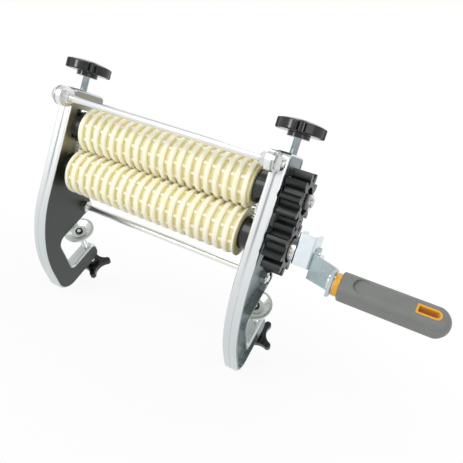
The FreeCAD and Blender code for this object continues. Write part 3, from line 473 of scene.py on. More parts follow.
@dataclass(frozen=True)
class Moulding(Finish):
    """Moulded plastic or rubber with the fine spark texture of its mould."""

    texture_mm: float
    depth_mm: float
    second_colour: str
    coat: float
    shine: float = 0.5

    gloss_range = (-0.05, 0.06)
    coat_roughness = 0.12
    handled_mm = 11.0

    def detail(self, tree: bpy.types.NodeTree, shader: bpy.types.Node, place: bpy.types.NodeSocket) -> None:
        """Add the mould's texture and a handled skin of uneven gloss.

        Args:
            tree: the material's tree.
            shader: its main shader.
            place: object coordinates in metres.
        """
        shader.inputs["Specular IOR Level"].default_value = self.shine
        shader.inputs["Coat Weight"].default_value = self.coat
        shader.inputs["Coat Roughness"].default_value = self.coat_roughness
        handled = self.grain(tree, place, self.handled_mm)
        tree.links.new(self.clouds(tree, handled, self.second_colour), shader.inputs["Base Color"])
        self.surface(tree, shader, handled, self.grain(tree, place, self.texture_mm), self.depth_mm)


# Polished casting: near-white rims with soft polishing strokes, painted shade lower down and a painted grey
# reflection line; rougher flats in painted shade with a painted olive reflection of the rollers
CAST_ALUMINIUM = PolishedAluminium(
    "cast_aluminium_polished", "polished_aluminium", "#E8EAEB", roughness=0.22,
    tones=((-60.0, "#CFD5D5"), (90.0, "#E8EAEB")),
    inner_shade_tones=((50.0, "#525554"), (80.0, "#6A6B60"), (104.0, "#C6C6B2"), (138.0, "#B4B4A4"),
                 (154.0, "#97958E")),
    outer_shade_colour="#8A9496", dull_roughness=0.42, flats_mm=(123.7, 132.7, 140.7), edge_mm=0.25,
    ear_mm=(-70.0, -66.0), reflection_line_colour="#9DA2A6", reflection_line_mm=(131.2, 2.2), reflection_line_fade_mm=(15.0, 80.0))
# Bright zinc plating: silvery, faintly blue and straw clouds, soft gloss
ZINC_PLATE = BrightMetal(
    "mild_steel_bright_zinc", "zinc_steel", "#D3D8DB", roughness=0.24, marks_mm=6.0,
    pattern=Pattern.CLOUD, second_colour="#DDDCD4")
# Zinc-plated drawn rod: fine lines along the rod
ROD_ZINC = BrightMetal(
    "drawn_rod_bright_zinc", "zinc_steel", "#E6E9EC", roughness=0.3, marks_mm=0.7,
    pattern=Pattern.ALONG_X, second_colour="#EDEDE9")
# Satin zinc: the pads, pale grey with a faint green cast and no sharp mirror
PAD_ZINC = BrightMetal(
    "mild_steel_satin_zinc", "zinc_steel", "#C4CAC8", roughness=0.34, marks_mm=5.0,
    pattern=Pattern.CLOUD, second_colour="#CFD3CC")
# Sheet strap with a matt blue passivated zinc skin: flatter and greyer than the fasteners
STRAP_ZINC = MattZinc(
    "strip_steel_matt_zinc", "zinc_steel", "#B3C3C7", roughness=0.34, marks_mm=1.6,
    pattern=Pattern.ALONG_Z, second_colour="#A5B4B9")
# Sheet bracket with a bright blue passivated zinc skin: almost white, cool
SHEET_ZINC = BrightMetal(
    "strip_steel_bright_zinc", "zinc_steel", "#D8E2E7", roughness=0.34, marks_mm=1.6,
    pattern=Pattern.ALONG_Z, second_colour="#E2E9EC")
# Drawn studs under the knobs: a darker, mirror-like skin with fine lines along the stud
STUD_STEEL = BrightMetal(
    "drawn_stud_nickel", "zinc_steel", "#98A3A7", roughness=0.14, marks_mm=0.9,
    pattern=Pattern.ALONG_Z, second_colour="#848F93")
# Ground bar: bright with fine marks round the bar
GROUND_STEEL = BrightMetal(
    "carbon_steel_ground", "shaft_steel", "#A9ADAF", roughness=0.24, marks_mm=0.6,
    pattern=Pattern.ROUND_X, second_colour="#B9BBBA")
# Zinc-plated spring wire: a silvery skin that stays bright in the shade of the rollers
SPRING_WIRE = BrightMetal(
    "spring_steel_bright_zinc", "spring_steel", "#EEF0F3", roughness=0.32, marks_mm=0.8,
    pattern=Pattern.CLOUD, second_colour="#F2F2F4")
# Retaining ring: dark oiled spring steel, a black circle on the bright pad
BLACK_STEEL = BrightMetal(
    "spring_steel_black_oxide", "spring_steel", "#3A3D3E", roughness=0.34, marks_mm=1.2,
    pattern=Pattern.CLOUD, second_colour="#333637")
# Cream nylon lugs: the same waxy cream as the rings, moulded and left plain
CREAM_NYLON = Moulding(
    "nylon_cream_moulded", "cream_nylon", "#FBF5E0", roughness=0.36, texture_mm=1.0,
    depth_mm=0.004, second_colour="#F8F0D4", coat=0.0)
# Black nylon: satin moulded skin that turns light edges grey
BLACK_NYLON = Moulding(
    "nylon_black_moulded", "black_nylon", "#17191A", roughness=0.34, texture_mm=0.8,
    depth_mm=0.006, second_colour="#1C1F20", coat=0.0, shine=0.45)
# Black acetal bearings: turned smooth, with a clear glint on the round
BLACK_ACETAL = Moulding(
    "acetal_black_turned", "black_nylon", "#121415", roughness=0.2, texture_mm=0.8,
    depth_mm=0.002, second_colour="#151819", coat=0.0, shine=0.6)
# Black phenolic: deep black with a hard gloss
BLACK_GLOSS = Moulding(
    "phenolic_black_moulded", "black_plastic", "#0A0C0C", roughness=0.24, texture_mm=3.0,
    depth_mm=0.006, second_colour="#0E1111", coat=0.5, shine=0.25)
# Soft grip rubber: matt mid grey with a fine sand texture
GREY_RUBBER = Moulding(
    "thermoplastic_rubber_grey", "grey_rubber", "#727472", roughness=0.48, texture_mm=0.7,
    depth_mm=0.01, second_colour="#777977", coat=0.0)
# Orange core: plain moulded plastic with a soft gloss
ORANGE_PLASTIC = Moulding(
    "polypropylene_orange_moulded", "orange_plastic", "#E2A126", roughness=0.36, texture_mm=1.2,
    depth_mm=0.006, second_colour="#E6A82D", coat=0.1)


def dress(frame: dict, finish: Finish, *nodes: str) -> None:
    """Give CAD nodes their finish.

    Args:
        frame: the loaded frame.
        finish: the finish they get.
        nodes: the nodes' names.
    """
    for node in nodes:
        slots = frame["nodes"][node].data.materials
        slots.clear()
        slots.append(finish.material())
        LOG.info("%s: %s", node, finish.name)


def add_piece(name: str, mesh: bpy.types.Mesh, finish: Finish) -> bpy.types.Object:
    """Put a finished mesh in the scene at the origin.

    Args:
        name: the piece's name.
        mesh: its mesh, already in place.
        finish: the finish it gets.

    Returns:
        The new object.
    """
    mesh.materials.clear()
    mesh.materials.append(finish.material())
    piece = bpy.data.objects.new(name, mesh)
    bpy.context.scene.collection.objects.link(piece)
    LOG.info("%s: %d faces, %s", name, len(mesh.polygons), finish.name)
    return piece


class GeometryTree:
    """A Geometry Nodes tree with named inputs, turned into a plain mesh for each piece."""

    def __init__(self, name: str) -> None:
        """Start an empty tree.

        Args:
            name: the tree's name.
        """
        self.tree = bpy.data.node_groups.new(name, "GeometryNodeTree")
        self.tree.interface.new_socket("Geometry", in_out="OUTPUT", socket_type="NodeSocketGeometry")
        self.identifiers: dict[str, str] = {}

    def take(self, kind: str, *names: str) -> None:
        """Add named inputs.

        Args:
            kind: their type, such as Float.
            names: their names.
        """
        for name in names:
            item = self.tree.interface.new_socket(name, in_out="INPUT", socket_type="NodeSocket" + kind)
            self.identifiers[name] = item.identifier

    def finish(self, geometry: bpy.types.NodeSocket, finish: bpy.types.NodeSocket) -> None:
        """End the tree with plain geometry in a finish.

        Args:
            geometry: what the tree has made.
            finish: the material's socket.
        """
        real = add_node(self.tree, "GeometryNodeRealizeInstances", {"Geometry": geometry})
        dressed = add_node(self.tree, "GeometryNodeSetMaterial", {
            "Geometry": real.outputs["Geometry"], "Material": finish})
        add_node(self.tree, "NodeGroupOutput", {"Geometry": dressed.outputs["Geometry"]})

    def mesh(self, name: str, values: dict[str, object]) -> bpy.types.Mesh:
        """Run the tree once.

        Args:
            name: the mesh's name.
            values: a value for each input's name.

        Returns:
            The plain mesh.
        """
        holder = bpy.data.objects.new(name + "_holder", bpy.data.meshes.new(name + "_holder"))
        bpy.context.scene.collection.objects.link(holder)
        modifier = holder.modifiers.new("build", "NODES")
        modifier.node_group = self.tree
        for key, value in values.items():
            modifier[self.identifiers[key]] = value
        graph = bpy.context.evaluated_depsgraph_get()
        mesh = bpy.data.meshes.new_from_object(holder.evaluated_get(graph))
        mesh.name = name
        bpy.data.objects.remove(holder)
        return mesh


@dataclass
class ThreadedBar:
    """A round bar made of stretches, some with a right-hand thread."""

    pitch_mm: float = 1.25
    depth_mm: float = 0.62
    segments: int = 32
    rows_for_pitch: int = 6
    flank_gain: float = 1.2
    crest_share: float = 0.1
    merge_mm: float = 0.001

    def rows(self, stretches: list[tuple[float, float, float, bool]]) -> list[tuple[float, float, float]]:
        """Lay out the rings of points along the bar.

        Args:
            stretches: start, end and radius in mm, and whether it is threaded.

        Returns:
            For each ring its place, its radius and how deep its thread is.
        """
        rings = []
        for start, end, radius, threaded in stretches:
            if not threaded:
                rings += [(start, radius, 0.0), (end, radius, 0.0)]
                continue
            count = max(2, round((end - start) / self.pitch_mm * self.rows_for_pitch))
            for k in range(count + 1):
                place = start + (end - start) * k / count
                run_out = min(place - start, end - place) / self.pitch_mm
                rings.append((place, radius, self.depth_mm * min(1.0, run_out)))
        return rings

    def mesh(self, name: str, stretches: list[tuple[float, float, float, bool]], chamfer_mm: float,
             place: Matrix) -> bpy.types.Mesh:
        """Build the bar along Z and put it in place.

        Args:
            name: the mesh's name.
            stretches: start, end and radius in mm, and whether it is threaded.
            chamfer_mm: the bevel at both ends.
            place: where the bar's Z axis goes, in metres.

        Returns:
            The bar's mesh.
        """
        rings = self.rows(stretches)
        (first, first_radius, _), (last, last_radius, _) = rings[0], rings[-1]
        inner = [ring for ring in rings if first + chamfer_mm <= ring[0] <= last - chamfer_mm]
        rings = [(first, first_radius - chamfer_mm, 0.0), (first + chamfer_mm, first_radius, 0.0)] + inner
        rings += [(last - chamfer_mm, last_radius, 0.0), (last, last_radius - chamfer_mm, 0.0)]
        shape = bmesh.new()
        loops = []
        for height, radius, depth in rings:
            loop = []
            for k in range(self.segments):
                share = k / self.segments
                phase = (height / self.pitch_mm - share) % 1.0
                flank = min(1.0, max(0.0, self.flank_gain * abs(2 * phase - 1) - self.crest_share))
                reach = (radius - depth * flank) * MM
                turn = FULL_TURN * share
                loop.append(shape.verts.new(place @ Vector((reach * math.cos(turn), reach * math.sin(turn),
                                                            height * MM))))
            loops.append(loop)
        for low, high in zip(loops, loops[1:]):
            for k in range(self.segments):
                following = (k + 1) % self.segments
                shape.faces.new((low[k], low[following], high[following], high[k]))
        shape.faces.new(list(reversed(loops[0])))
        shape.faces.new(loops[-1])
        bmesh.ops.remove_doubles(shape, verts=shape.verts, dist=self.merge_mm * MM)
        bmesh.ops.recalc_face_normals(shape, faces=shape.faces)
        mesh = bpy.data.meshes.new(name)
        shape.to_mesh(mesh)
        shape.free()
        smooth(mesh)
        return mesh


@dataclass
class SidePlates:
    """The two cast plates with their clamps' arms, the lower bearings and the tie rods."""

    rod_radius_mm: float = 4.0
    rod_reach_mm: float = 141.2
    rod_thread_mm: float = 26.0
    rod_chamfer_mm: float = 0.7
    top_rod_mm: tuple[float, float] = (-78.3056, 149.7)
    lower_rod_mm: tuple[float, float] = (2.1135, 22.6274)

    def build(self, frame: dict) -> None:
        """Dress the plates and make the rods with their threaded ends.

        Args:
            frame: the loaded frame.
        """
        for side in Side:
            dress(frame, CAST_ALUMINIUM, side.word + "_side_plate")
            dress(frame, BLACK_ACETAL, side.word + "_lower_bearing")
        dress(frame, ZINC_PLATE, "tie_rod_nuts")
        self.rod("top_tie_rod", self.top_rod_mm)
        self.rod("lower_tie_rod", self.lower_rod_mm)

    def rod(self, node: str, place_mm: tuple[float, float]) -> None:
        """Make one rod.

        Args:
            node: the CAD node that it stands for.
            place_mm: its Y and Z.
        """
        reach, thread = self.rod_reach_mm, self.rod_thread_mm
        stretches = [(-reach, thread - reach, self.rod_radius_mm, True),
                     (thread - reach, reach - thread, self.rod_radius_mm, False),
                     (reach - thread, reach, self.rod_radius_mm, True)]
        along_x = Matrix.Rotation(math.pi / 2, 4, "Y")
        place = Matrix.Translation((0.0, place_mm[0] * MM, place_mm[1] * MM)) @ along_x
        mesh = ThreadedBar().mesh(node, stretches, self.rod_chamfer_mm, place)
        piece = add_piece(node + "_threaded", mesh, ROD_ZINC)
        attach(piece, "frame")
        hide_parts(node)


@dataclass
class RollerPair:
    """The two ringed rollers on their shafts, with lugs across the grooves."""

    pitch_mm: float = 11.0
    root_mm: float = 22.7
    # Heights over the groove's floor between which the painted groove shade passes into the ring's cream
    groove_shade_fade_mm: tuple[float, float] = (0.1, 3.3)
    glow_mm: float = 6.0
    root_flat_mm: float = 4.8
    flank_slope: float = 0.2
    axis_y_mm: float = -40.3
    lower_z_mm: float = 70.2
    upper_z_mm: float = 121.2
    lower_grooves: int = 20
    upper_grooves: int = 19
    lug_height_mm: float = 1.2
    lug_length_mm: float = 3.2
    lug_foot_mm: float = 0.4
    lug_sunk_mm: float = 0.15
    lug_draft_mm: float = 0.35
    lug_round_mm: float = 0.5
    lug_round_segments: int = 3
    lug_crease_angle: float = 50.0
    lugs_each_turn: int = 9
    # How far the rows wind at each groove, and stray at most, as shares of one step round
    lug_twist: float = 0.06
    lug_stray: float = 0.3
    seed: int = 7

    def build(self, frame: dict) -> None:
        """Dress both rollers and shafts, and put the lugs in the grooves.

        Args:
            frame: the loaded frame.
        """
        tree = self.lug_tree()
        lug = self.lug()
        groove_shade_radii = (self.root_mm + self.groove_shade_fade_mm[0], self.root_mm + self.groove_shade_fade_mm[1])
        for name, body, height, grooves in (("upper", "upper_roller", self.upper_z_mm, self.upper_grooves),
                                            ("lower", "crank", self.lower_z_mm, self.lower_grooves)):
            # Turned nylon: bright waxy cream rings, and painted olive shade on the groove floors
            nylon = TurnedNylon(
                "nylon_%s_turned" % name, "cream_nylon", "#FBF5E3", roughness=0.36, second_colour="#F9F1D9",
                groove_shade_colour="#ECE4B0", groove_shade_mm=groove_shade_radii, glow_mm=self.glow_mm, axis_y_mm=self.axis_y_mm,
                axis_z_mm=height)
            dress(frame, nylon, name + "_roller")
            dress(frame, GROUND_STEEL, name + "_shaft")
            mesh = tree.mesh(name + "_roller_lugs", {
                "Lug": lug, "Grooves": grooves, "Lugs Each Turn": self.lugs_each_turn,
                "Seed": self.seed + grooves, "Pitch": self.pitch_mm * MM,
                "First Groove": -self.pitch_mm * (grooves - 1) / 2 * MM,
                "Axis Y": self.axis_y_mm * MM, "Axis Z": height * MM, "Root Radius": self.root_mm * MM,
                "Finish": CREAM_NYLON.material()})
            piece = add_piece(name + "_roller_lugs", mesh, CREAM_NYLON)
            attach(piece, body)
        bpy.data.objects.remove(lug)

    def lug(self) -> bpy.types.Object:
        """Make one lug: a rounded wedge that fills the groove's V, with Y away from the axis.

        Returns:
            The lug, as an object that the rows repeat.
        """
        shape = bmesh.new()
        corners = []
        for height, shrink in ((-self.lug_foot_mm, 0.0), (self.lug_height_mm, self.lug_draft_mm)):
            half = self.root_flat_mm / 2 + self.flank_slope * height + self.lug_sunk_mm
            reach = self.lug_length_mm / 2 + self.lug_draft_mm - shrink
            corners += [shape.verts.new((x * half * MM, height * MM, z * reach * MM))
                        for x, z in ((-1, -1), (1, -1), (1, 1), (-1, 1))]
        for loop in ((0, 1, 2, 3), (7, 6, 5, 4), (0, 4, 5, 1), (1, 5, 6, 2), (2, 6, 7, 3), (3, 7, 4, 0)):
            shape.faces.new([corners[k] for k in loop])
        top = [edge for edge in shape.edges if all(vert.co.y > 0 for vert in edge.verts)]
        bmesh.ops.bevel(shape, geom=top, offset=self.lug_round_mm * MM, segments=self.lug_round_segments,
                        profile=0.5, affect="EDGES")
        bmesh.ops.recalc_face_normals(shape, faces=shape.faces)
        mesh = bpy.data.meshes.new("roller_lug")
        shape.to_mesh(mesh)
        shape.free()
        smooth(mesh, self.lug_crease_angle)
        lug = bpy.data.objects.new("roller_lug", mesh)
        bpy.context.scene.collection.objects.link(lug)
        return lug

    def lug_tree(self) -> GeometryTree:
        """Build the tree that sets lugs round each groove, in rows that wind and stray a little.

        Returns:
            The tree.
        """
        made = GeometryTree("roller_lugs")
        made.take("Object", "Lug")
        made.take("Int", "Grooves", "Lugs Each Turn", "Seed")
        made.take("Float", "Pitch", "First Groove", "Axis Y", "Axis Z", "Root Radius")
        made.take("Material", "Finish")
        tree = made.tree
        given = add_node(tree, "NodeGroupInput").outputs
        grooves, lugs = given["Grooves"], given["Lugs Each Turn"]
        count = add_node(tree, "FunctionNodeIntegerMath", {0: grooves, 1: lugs}, operation="MULTIPLY")
        points = add_node(tree, "GeometryNodePoints", {"Count": count.outputs[0]})
        index = add_node(tree, "GeometryNodeInputIndex").outputs[0]
        shared = {0: index, 1: lugs}
        groove = add_node(tree, "FunctionNodeIntegerMath", shared, operation="DIVIDE_FLOOR").outputs[0]
        row = add_node(tree, "FunctionNodeIntegerMath", shared, operation="MODULO").outputs[0]
        wound = add_node(tree, "ShaderNodeMath", {0: groove, 1: self.lug_twist, 2: row},
                         operation="MULTIPLY_ADD")
        chance = add_node(tree, "FunctionNodeRandomValue", {
            "ID": groove, "Seed": given["Seed"], RANDOM_LOW: 0.0, RANDOM_HIGH: self.lug_stray},
            data_type="FLOAT")
        step = add_node(tree, "ShaderNodeMath", {0: wound.outputs[0], 1: chance.outputs[RANDOM_OUT]})
        turn = add_node(tree, "ShaderNodeMapRange", {
            "Value": step.outputs[0], "From Max": lugs, "To Max": FULL_TURN}, clamp=False).outputs["Result"]
        across = add_node(tree, "ShaderNodeMath", {0: groove, 1: given["Pitch"], 2: given["First Groove"]},
                          operation="MULTIPLY_ADD")
        start = add_node(tree, "ShaderNodeCombineXYZ", {"X": across.outputs[0], "Y": given["Root Radius"]})
        turned = add_node(tree, "ShaderNodeVectorRotate", {"Vector": start.outputs["Vector"], "Angle": turn},
                          rotation_type="X_AXIS")
        axis = add_node(tree, "ShaderNodeCombineXYZ", {"Y": given["Axis Y"], "Z": given["Axis Z"]})
        place = add_node(tree, "ShaderNodeVectorMath", {
            0: turned.outputs["Vector"], 1: axis.outputs["Vector"]})
        spots = add_node(tree, "GeometryNodeSetPosition", {
            "Geometry": points.outputs[0], "Position": place.outputs["Vector"]})
        lug = add_node(tree, "GeometryNodeObjectInfo", {"Object": given["Lug"]})
        facing = add_node(tree, "ShaderNodeCombineXYZ", {"X": turn})
        placed = add_node(tree, "GeometryNodeInstanceOnPoints", {
            "Points": spots.outputs["Geometry"], "Instance": lug.outputs["Geometry"],
            "Rotation": facing.outputs["Vector"]})
        made.finish(placed.outputs["Instances"], given["Finish"])
        return made


@dataclass
class ReturnSprings:
    """The coil springs that push the upper bearings up, with closed end turns."""

    x_mm: float = 117.0
    y_mm: float = -40.3
    low_mm: float = 84.9
    high_mm: float = 106.5
    coil_radius_mm: float = 4.5
    wire_radius_mm: float = 1.0
    turns: float = 6.5
    # The share of the height that the close turn at each end takes
    closed_rise: float = 0.11
    samples_for_turn: int = 28
    wire_segments: int = 14

    def build(self) -> None:
        """Wind a spring for each end and stretch it between its two bearings."""
        tree = self.coil_tree()
        for side in Side:
            name = side.word + "_return_spring"
            mesh = tree.mesh(name + "_coil", {
                "Winding": self.turns * FULL_TURN, "Samples": round(self.turns * self.samples_for_turn),
                "Coil Radius": self.coil_radius_mm * MM, "Wire Radius": self.wire_radius_mm * MM,
                "Wire Segments": self.wire_segments, "Low": (self.low_mm + self.wire_radius_mm) * MM,
                "High": (self.high_mm - self.wire_radius_mm) * MM, "Centre X": side.value * self.x_mm * MM,
                "Centre Y": self.y_mm * MM, "Finish": SPRING_WIRE.material()})
            piece = add_piece(name + "_coil", mesh, SPRING_WIRE)
            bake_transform(piece)
            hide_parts(name)

    def coil_tree(self) -> GeometryTree:
        """Build the tree that sweeps a wire along a coil whose end turns lie close.

        Returns:
            The tree.
        """
        made = GeometryTree("return_spring")
        made.take("Float", "Winding", "Coil Radius", "Wire Radius", "Low", "High", "Centre X", "Centre Y")
        made.take("Int", "Samples", "Wire Segments")
        made.take("Material", "Finish")
        tree = made.tree
        given = add_node(tree, "NodeGroupInput").outputs
        line = add_node(tree, "GeometryNodeCurvePrimitiveLine")
        dense = add_node(tree, "GeometryNodeResampleCurve", {
            "Curve": line.outputs["Curve"], "Count": given["Samples"]})
        share = add_node(tree, "GeometryNodeSplineParameter").outputs["Factor"]
        turn = add_node(tree, "ShaderNodeMath", {0: share, 1: given["Winding"]}, operation="MULTIPLY")
        rise = add_node(tree, "ShaderNodeFloatCurve", {"Value": share})
        points = rise.mapping.curves[0].points
        closed = 1 / self.turns
        for place, height in ((closed, self.closed_rise), (1 - closed, 1 - self.closed_rise)):
            points.new(place, height).handle_type = "VECTOR"
        rise.mapping.update()
        height = add_node(tree, "ShaderNodeMapRange", {
            "Value": rise.outputs[0], "To Min": given["Low"], "To Max": given["High"]})
        start = add_node(tree, "ShaderNodeCombineXYZ", {
            "X": given["Coil Radius"], "Z": height.outputs["Result"]})
        turned = add_node(tree, "ShaderNodeVectorRotate", {
            "Vector": start.outputs["Vector"], "Angle": turn.outputs[0]}, rotation_type="Z_AXIS")
        centre = add_node(tree, "ShaderNodeCombineXYZ", {"X": given["Centre X"], "Y": given["Centre Y"]})
        place = add_node(tree, "ShaderNodeVectorMath", {
            0: turned.outputs["Vector"], 1: centre.outputs["Vector"]})
        coil = add_node(tree, "GeometryNodeSetPosition", {
            "Geometry": dense.outputs["Curve"], "Position": place.outputs["Vector"]})
        wire = add_node(tree, "GeometryNodeCurvePrimitiveCircle", {
            "Resolution": given["Wire Segments"], "Radius": given["Wire Radius"]})
        swept = add_node(tree, "GeometryNodeCurveToMesh", {
            "Curve": coil.outputs["Geometry"], "Profile Curve": wire.outputs["Curve"], "Fill Caps": True})
        made.finish(swept.outputs["Mesh"], given["Finish"])
        return made


@dataclass
class Adjusters:
    """The two screws that set the upper roller's height, with their knobs and bearings."""

    x_mm: float = 134.7
    y_mm: float = -40.3
    low_mm: float = 135.3
    thread_end_mm: float = 161.0
    high_mm: float = 190.7
    radius_mm: float = 4.0
    chamfer_mm: float = 0.6

    def build(self, frame: dict) -> None:
        """Dress knobs and bearings, and make the threaded screws.

        Args:
            frame: the loaded frame.
        """
        for side in Side:
            dress(frame, BLACK_ACETAL, side.word + "_upper_bearing")
            dress(frame, BLACK_GLOSS, side.word + "_adjusting_knob")
            node = side.word + "_adjusting_screw"
            place = Matrix.Translation((side.value * self.x_mm * MM, self.y_mm * MM, 0.0))
            stretches = [(self.low_mm, self.thread_end_mm, self.radius_mm, True),
                         (self.thread_end_mm, self.high_mm, self.radius_mm, False)]
            mesh = ThreadedBar().mesh(node, stretches, self.chamfer_mm, place)
            piece = add_piece(node + "_threaded", mesh, STUD_STEEL)
            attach(piece, side.word + "_adjuster")
            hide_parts(node)


@dataclass
class TableClamps:
    """The two clamp screws with their dished pads and star knobs."""

    x_mm: float = 132.2
    neck_mm: tuple[float, float, float] = (22.25, 26.65, 3.0)
    collar_mm: tuple[float, float, float] = (26.65, 30.65, 6.0)
    shank_mm: tuple[float, float, float] = (30.65, 97.0, 4.0)
    chamfer_mm: float = 0.5
    lean: float = -135.0

    def build(self, frame: dict) -> None:
        """Dress pads and knobs, and make the threaded screws square to the jaws.

        Args:
            frame: the loaded frame.
        """
        lean = Matrix.Rotation(math.radians(self.lean), 4, "X")
        for side in Side:
            dress(frame, PAD_ZINC, side.word + "_clamp_pad")
            dress(frame, BLACK_STEEL, side.word + "_clamp_pad_ring")
            dress(frame, BLACK_GLOSS, side.word + "_clamp_knob")
            node = side.word + "_clamp_screw"
            stretches = [(*self.neck_mm, False), (*self.collar_mm, False), (*self.shank_mm, True)]
            place = Matrix.Translation((side.value * self.x_mm * MM, 0.0, 0.0)) @ lean
            mesh = ThreadedBar().mesh(node, stretches, self.chamfer_mm, place)
            piece = add_piece(node + "_threaded", mesh, ZINC_PLATE)
            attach(piece, side.word + "_clamp_screw")
            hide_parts(node)


@dataclass
class CrankEnd:
    """The gears, the crank's bracket and strap, and the grip on its spindle."""

    def build(self, frame: dict) -> None:
        """Dress everything at the crank's end.

        Args:
            frame: the loaded frame.
        """
        dress(frame, BLACK_NYLON, "upper_gear", "lower_gear")
        dress(frame, GROUND_STEEL, "upper_gear_key", "lower_gear_key")
        dress(frame, ZINC_PLATE, "upper_gear_washer", "upper_gear_nut", "crank_spacer", "crank_washer",
              "crank_bolt", "handle_spindle")
        dress(frame, SHEET_ZINC, "crank_bracket")
        dress(frame, STRAP_ZINC, "crank_arm")
        dress(frame, ORANGE_PLASTIC, "handle_core")
        dress(frame, GREY_RUBBER, "handle_grip")


@dataclass(frozen=True)
class Lamp:
    """A soft round lamp, with its place and width in metres and its power in watts."""

    name: str
    place: tuple[float, float, float]
    size: float
    power: float

    def build(self, target: tuple[float, float, float]) -> None:
        """Set the lamp up so that it faces a point.

        Args:
            target: the point, in metres.
        """
        data = bpy.data.lights.new(self.name, "AREA")
        data.shape = "DISK"
        data.size = self.size
        data.energy = self.power
        lamp = bpy.data.objects.new(self.name, data)
        bpy.context.scene.collection.objects.link(lamp)
        aim = Vector(target) - Vector(self.place)
        lamp.matrix_world = Matrix.Translation(self.place) @ aim.to_track_quat("-Z", "Y").to_matrix().to_4x4()


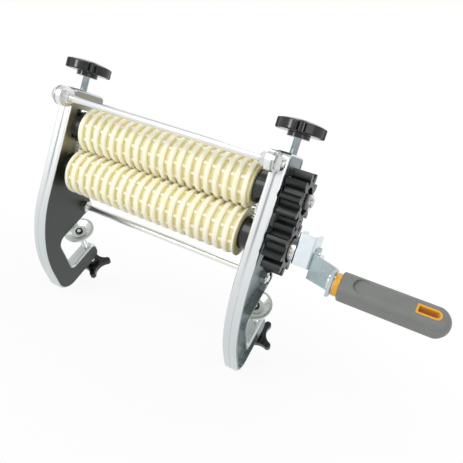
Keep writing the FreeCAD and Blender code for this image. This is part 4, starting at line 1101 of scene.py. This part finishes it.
@dataclass
class Studio:
    """The pale floor, the soft lights and the camera at the photograph's angle."""

    eye_mm: tuple[float, float, float] = (273.0, -538.1, 151.1)
    azimuth: float = 19.52
    elevation: float = 9.18
    roll: float = 17.27
    focal_pixels: float = 501.26
    image_pixels: float = 463.0
    sensor_mm: float = 36.0
    near_clip: float = 0.01
    floor_half: float = 4.0
    floor_colour: str = "#F4F4F4"
    # Distances in metres between which the floor passes from its first share of white to its second
    floor_fade: tuple[float, float] = (0.15, 0.6)
    floor_white: tuple[float, float] = (0.9, 1.0)
    # The sky's brightness where metal mirrors it, from the side to overhead
    overhead_rise: tuple[float, float] = (0.3, 0.85)
    overhead_white: tuple[float, float] = (1.0, 0.7)
    sky_light: float = 0.5
    target: tuple[float, float, float] = (0.06, -0.04, 0.06)
    lamps: tuple[Lamp, ...] = (
        Lamp("key", (-0.6, -1.35, 0.95), 1.3, 11.0), Lamp("fill", (1.25, -0.9, 0.6), 1.1, 4.5),
        Lamp("top", (0.1, 0.5, 1.5), 1.2, 4.5), Lamp("left", (-0.8, -1.25, 0.24), 0.3, 2.6))

    def build(self, lowest: float) -> None:
        """Set the stage under the object.

        Args:
            lowest: the object's lowest height, where the floor lies.
        """
        bpy.context.scene.view_settings.view_transform = "Standard"
        self.camera()
        self.floor(lowest)
        self.world()
        for lamp in self.lamps:
            lamp.build(self.target)

    def camera(self) -> None:
        """Place the camera where the photograph was taken from."""
        turn, rise, roll = (math.radians(angle) for angle in (self.azimuth, self.elevation, self.roll))
        back = Vector((math.sin(turn) * math.cos(rise), -math.cos(turn) * math.cos(rise), math.sin(rise)))
        level = (-back).cross(Vector((0.0, 0.0, 1.0))).normalized()
        above = level.cross(-back)
        right = math.cos(roll) * level + math.sin(roll) * above
        up = math.cos(roll) * above - math.sin(roll) * level
        data = bpy.data.cameras.new("camera")
        data.sensor_width = self.sensor_mm
        data.lens = self.focal_pixels / self.image_pixels * data.sensor_width
        data.clip_start = self.near_clip
        camera = bpy.data.objects.new("camera", data)
        bpy.context.scene.collection.objects.link(camera)
        turned = Matrix((right, up, back)).transposed().to_4x4()
        camera.matrix_world = Matrix.Translation(Vector(self.eye_mm) * MM) @ turned
        bpy.context.scene.camera = camera

    def floor(self, height: float) -> None:
        """Lay the floor: white far off, with the object's soft shadow near it.

        Args:
            height: where it lies.
        """
        half = self.floor_half
        mesh = bpy.data.meshes.new("floor")
        corners = [(x * half, y * half, height) for x, y in ((-1, -1), (1, -1), (1, 1), (-1, 1))]
        mesh.from_pydata(corners, [], [(0, 1, 2, 3)])
        floor = bpy.data.objects.new("floor", mesh)
        bpy.context.scene.collection.objects.link(floor)
        # White paper: matt near the object, and as white as the sky away from it
        material = bpy.data.materials.new("paper_white_matt")
        material.use_nodes = True
        tree = material.node_tree
        tree.nodes.clear()
        place = add_node(tree, "ShaderNodeTexCoord").outputs["Object"]
        distance = add_node(tree, "ShaderNodeVectorMath", {0: place}, operation="LENGTH").outputs["Value"]
        (near, away), (close_white, far_white) = self.floor_fade, self.floor_white
        far = add_node(tree, "ShaderNodeMapRange", {
            "Value": distance, "From Min": near, "From Max": away, "To Min": close_white,
            "To Max": far_white}, interpolation_type="SMOOTHSTEP")
        shown = add_node(tree, "ShaderNodeMath", {0: far.outputs["Result"], 1: self.seen_ray(tree)},
                         operation="MULTIPLY")
        paper = add_node(tree, "ShaderNodeBsdfDiffuse", {"Color": linear(self.floor_colour)})
        white = add_node(tree, "ShaderNodeEmission", {"Color": linear("#FFFFFF"), "Strength": 1.0})
        both = add_node(tree, "ShaderNodeMixShader", {
            "Fac": shown.outputs[0], 1: paper.outputs["BSDF"], 2: white.outputs["Emission"]})
        add_node(tree, "ShaderNodeOutputMaterial", {"Surface": both.outputs["Shader"]})
        mesh.materials.append(material)
        floor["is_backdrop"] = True

    def seen_ray(self, tree: bpy.types.NodeTree) -> bpy.types.NodeSocket:
        """Tell what is seen from what only lights the scene.

        Args:
            tree: the material's or the world's tree.

        Returns:
            1 for what the camera sees straight, in metal or through glass, and 0 for lighting.
        """
        path = add_node(tree, "ShaderNodeLightPath").outputs
        seen = add_node(tree, "ShaderNodeMath", {0: path["Is Camera Ray"], 1: path["Is Glossy Ray"]},
                        operation="MAXIMUM").outputs[0]
        return add_node(tree, "ShaderNodeMath", {0: seen, 1: path["Is Transmission Ray"]},
                        operation="MAXIMUM").outputs[0]

    def world(self) -> None:
        """Light the scene with an even sky, white to the eye and grey overhead where metal mirrors it."""
        world = bpy.data.worlds.new("studio")
        bpy.context.scene.world = world
        world.use_nodes = True
        tree = world.node_tree
        tree.nodes.clear()
        way = add_node(tree, "ShaderNodeTexCoord").outputs["Generated"]
        height = add_node(tree, "ShaderNodeSeparateXYZ", {"Vector": way}).outputs["Z"]
        (low, high), (side_white, top_white) = self.overhead_rise, self.overhead_white
        overhead = add_node(tree, "ShaderNodeMapRange", {
            "Value": height, "From Min": low, "From Max": high, "To Min": side_white, "To Max": top_white},
            interpolation_type="SMOOTHSTEP").outputs["Result"]
        seen = add_node(tree, "ShaderNodeBackground", {"Color": linear("#FFFFFF"), "Strength": overhead})
        light = add_node(tree, "ShaderNodeBackground", {
            "Color": linear("#FFFFFF"), "Strength": self.sky_light})
        both = add_node(tree, "ShaderNodeMixShader", {
            "Fac": self.seen_ray(tree), 1: light.outputs["Background"], 2: seen.outputs["Background"]})
        add_node(tree, "ShaderNodeOutputWorld", {"Surface": both.outputs["Shader"]})


def main() -> None:
    """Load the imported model, build and dress each sub-assembly, and set the stage."""
    logging.basicConfig(level=logging.INFO, format="%(name)s %(message)s")
    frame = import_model()
    cad_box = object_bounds()
    for part in (SidePlates(), RollerPair(), Adjusters(), TableClamps(), CrankEnd()):
        part.build(frame)
    ReturnSprings().build()
    Studio().build(cad_box[0][2])


if __name__ == "__main__":
    main()
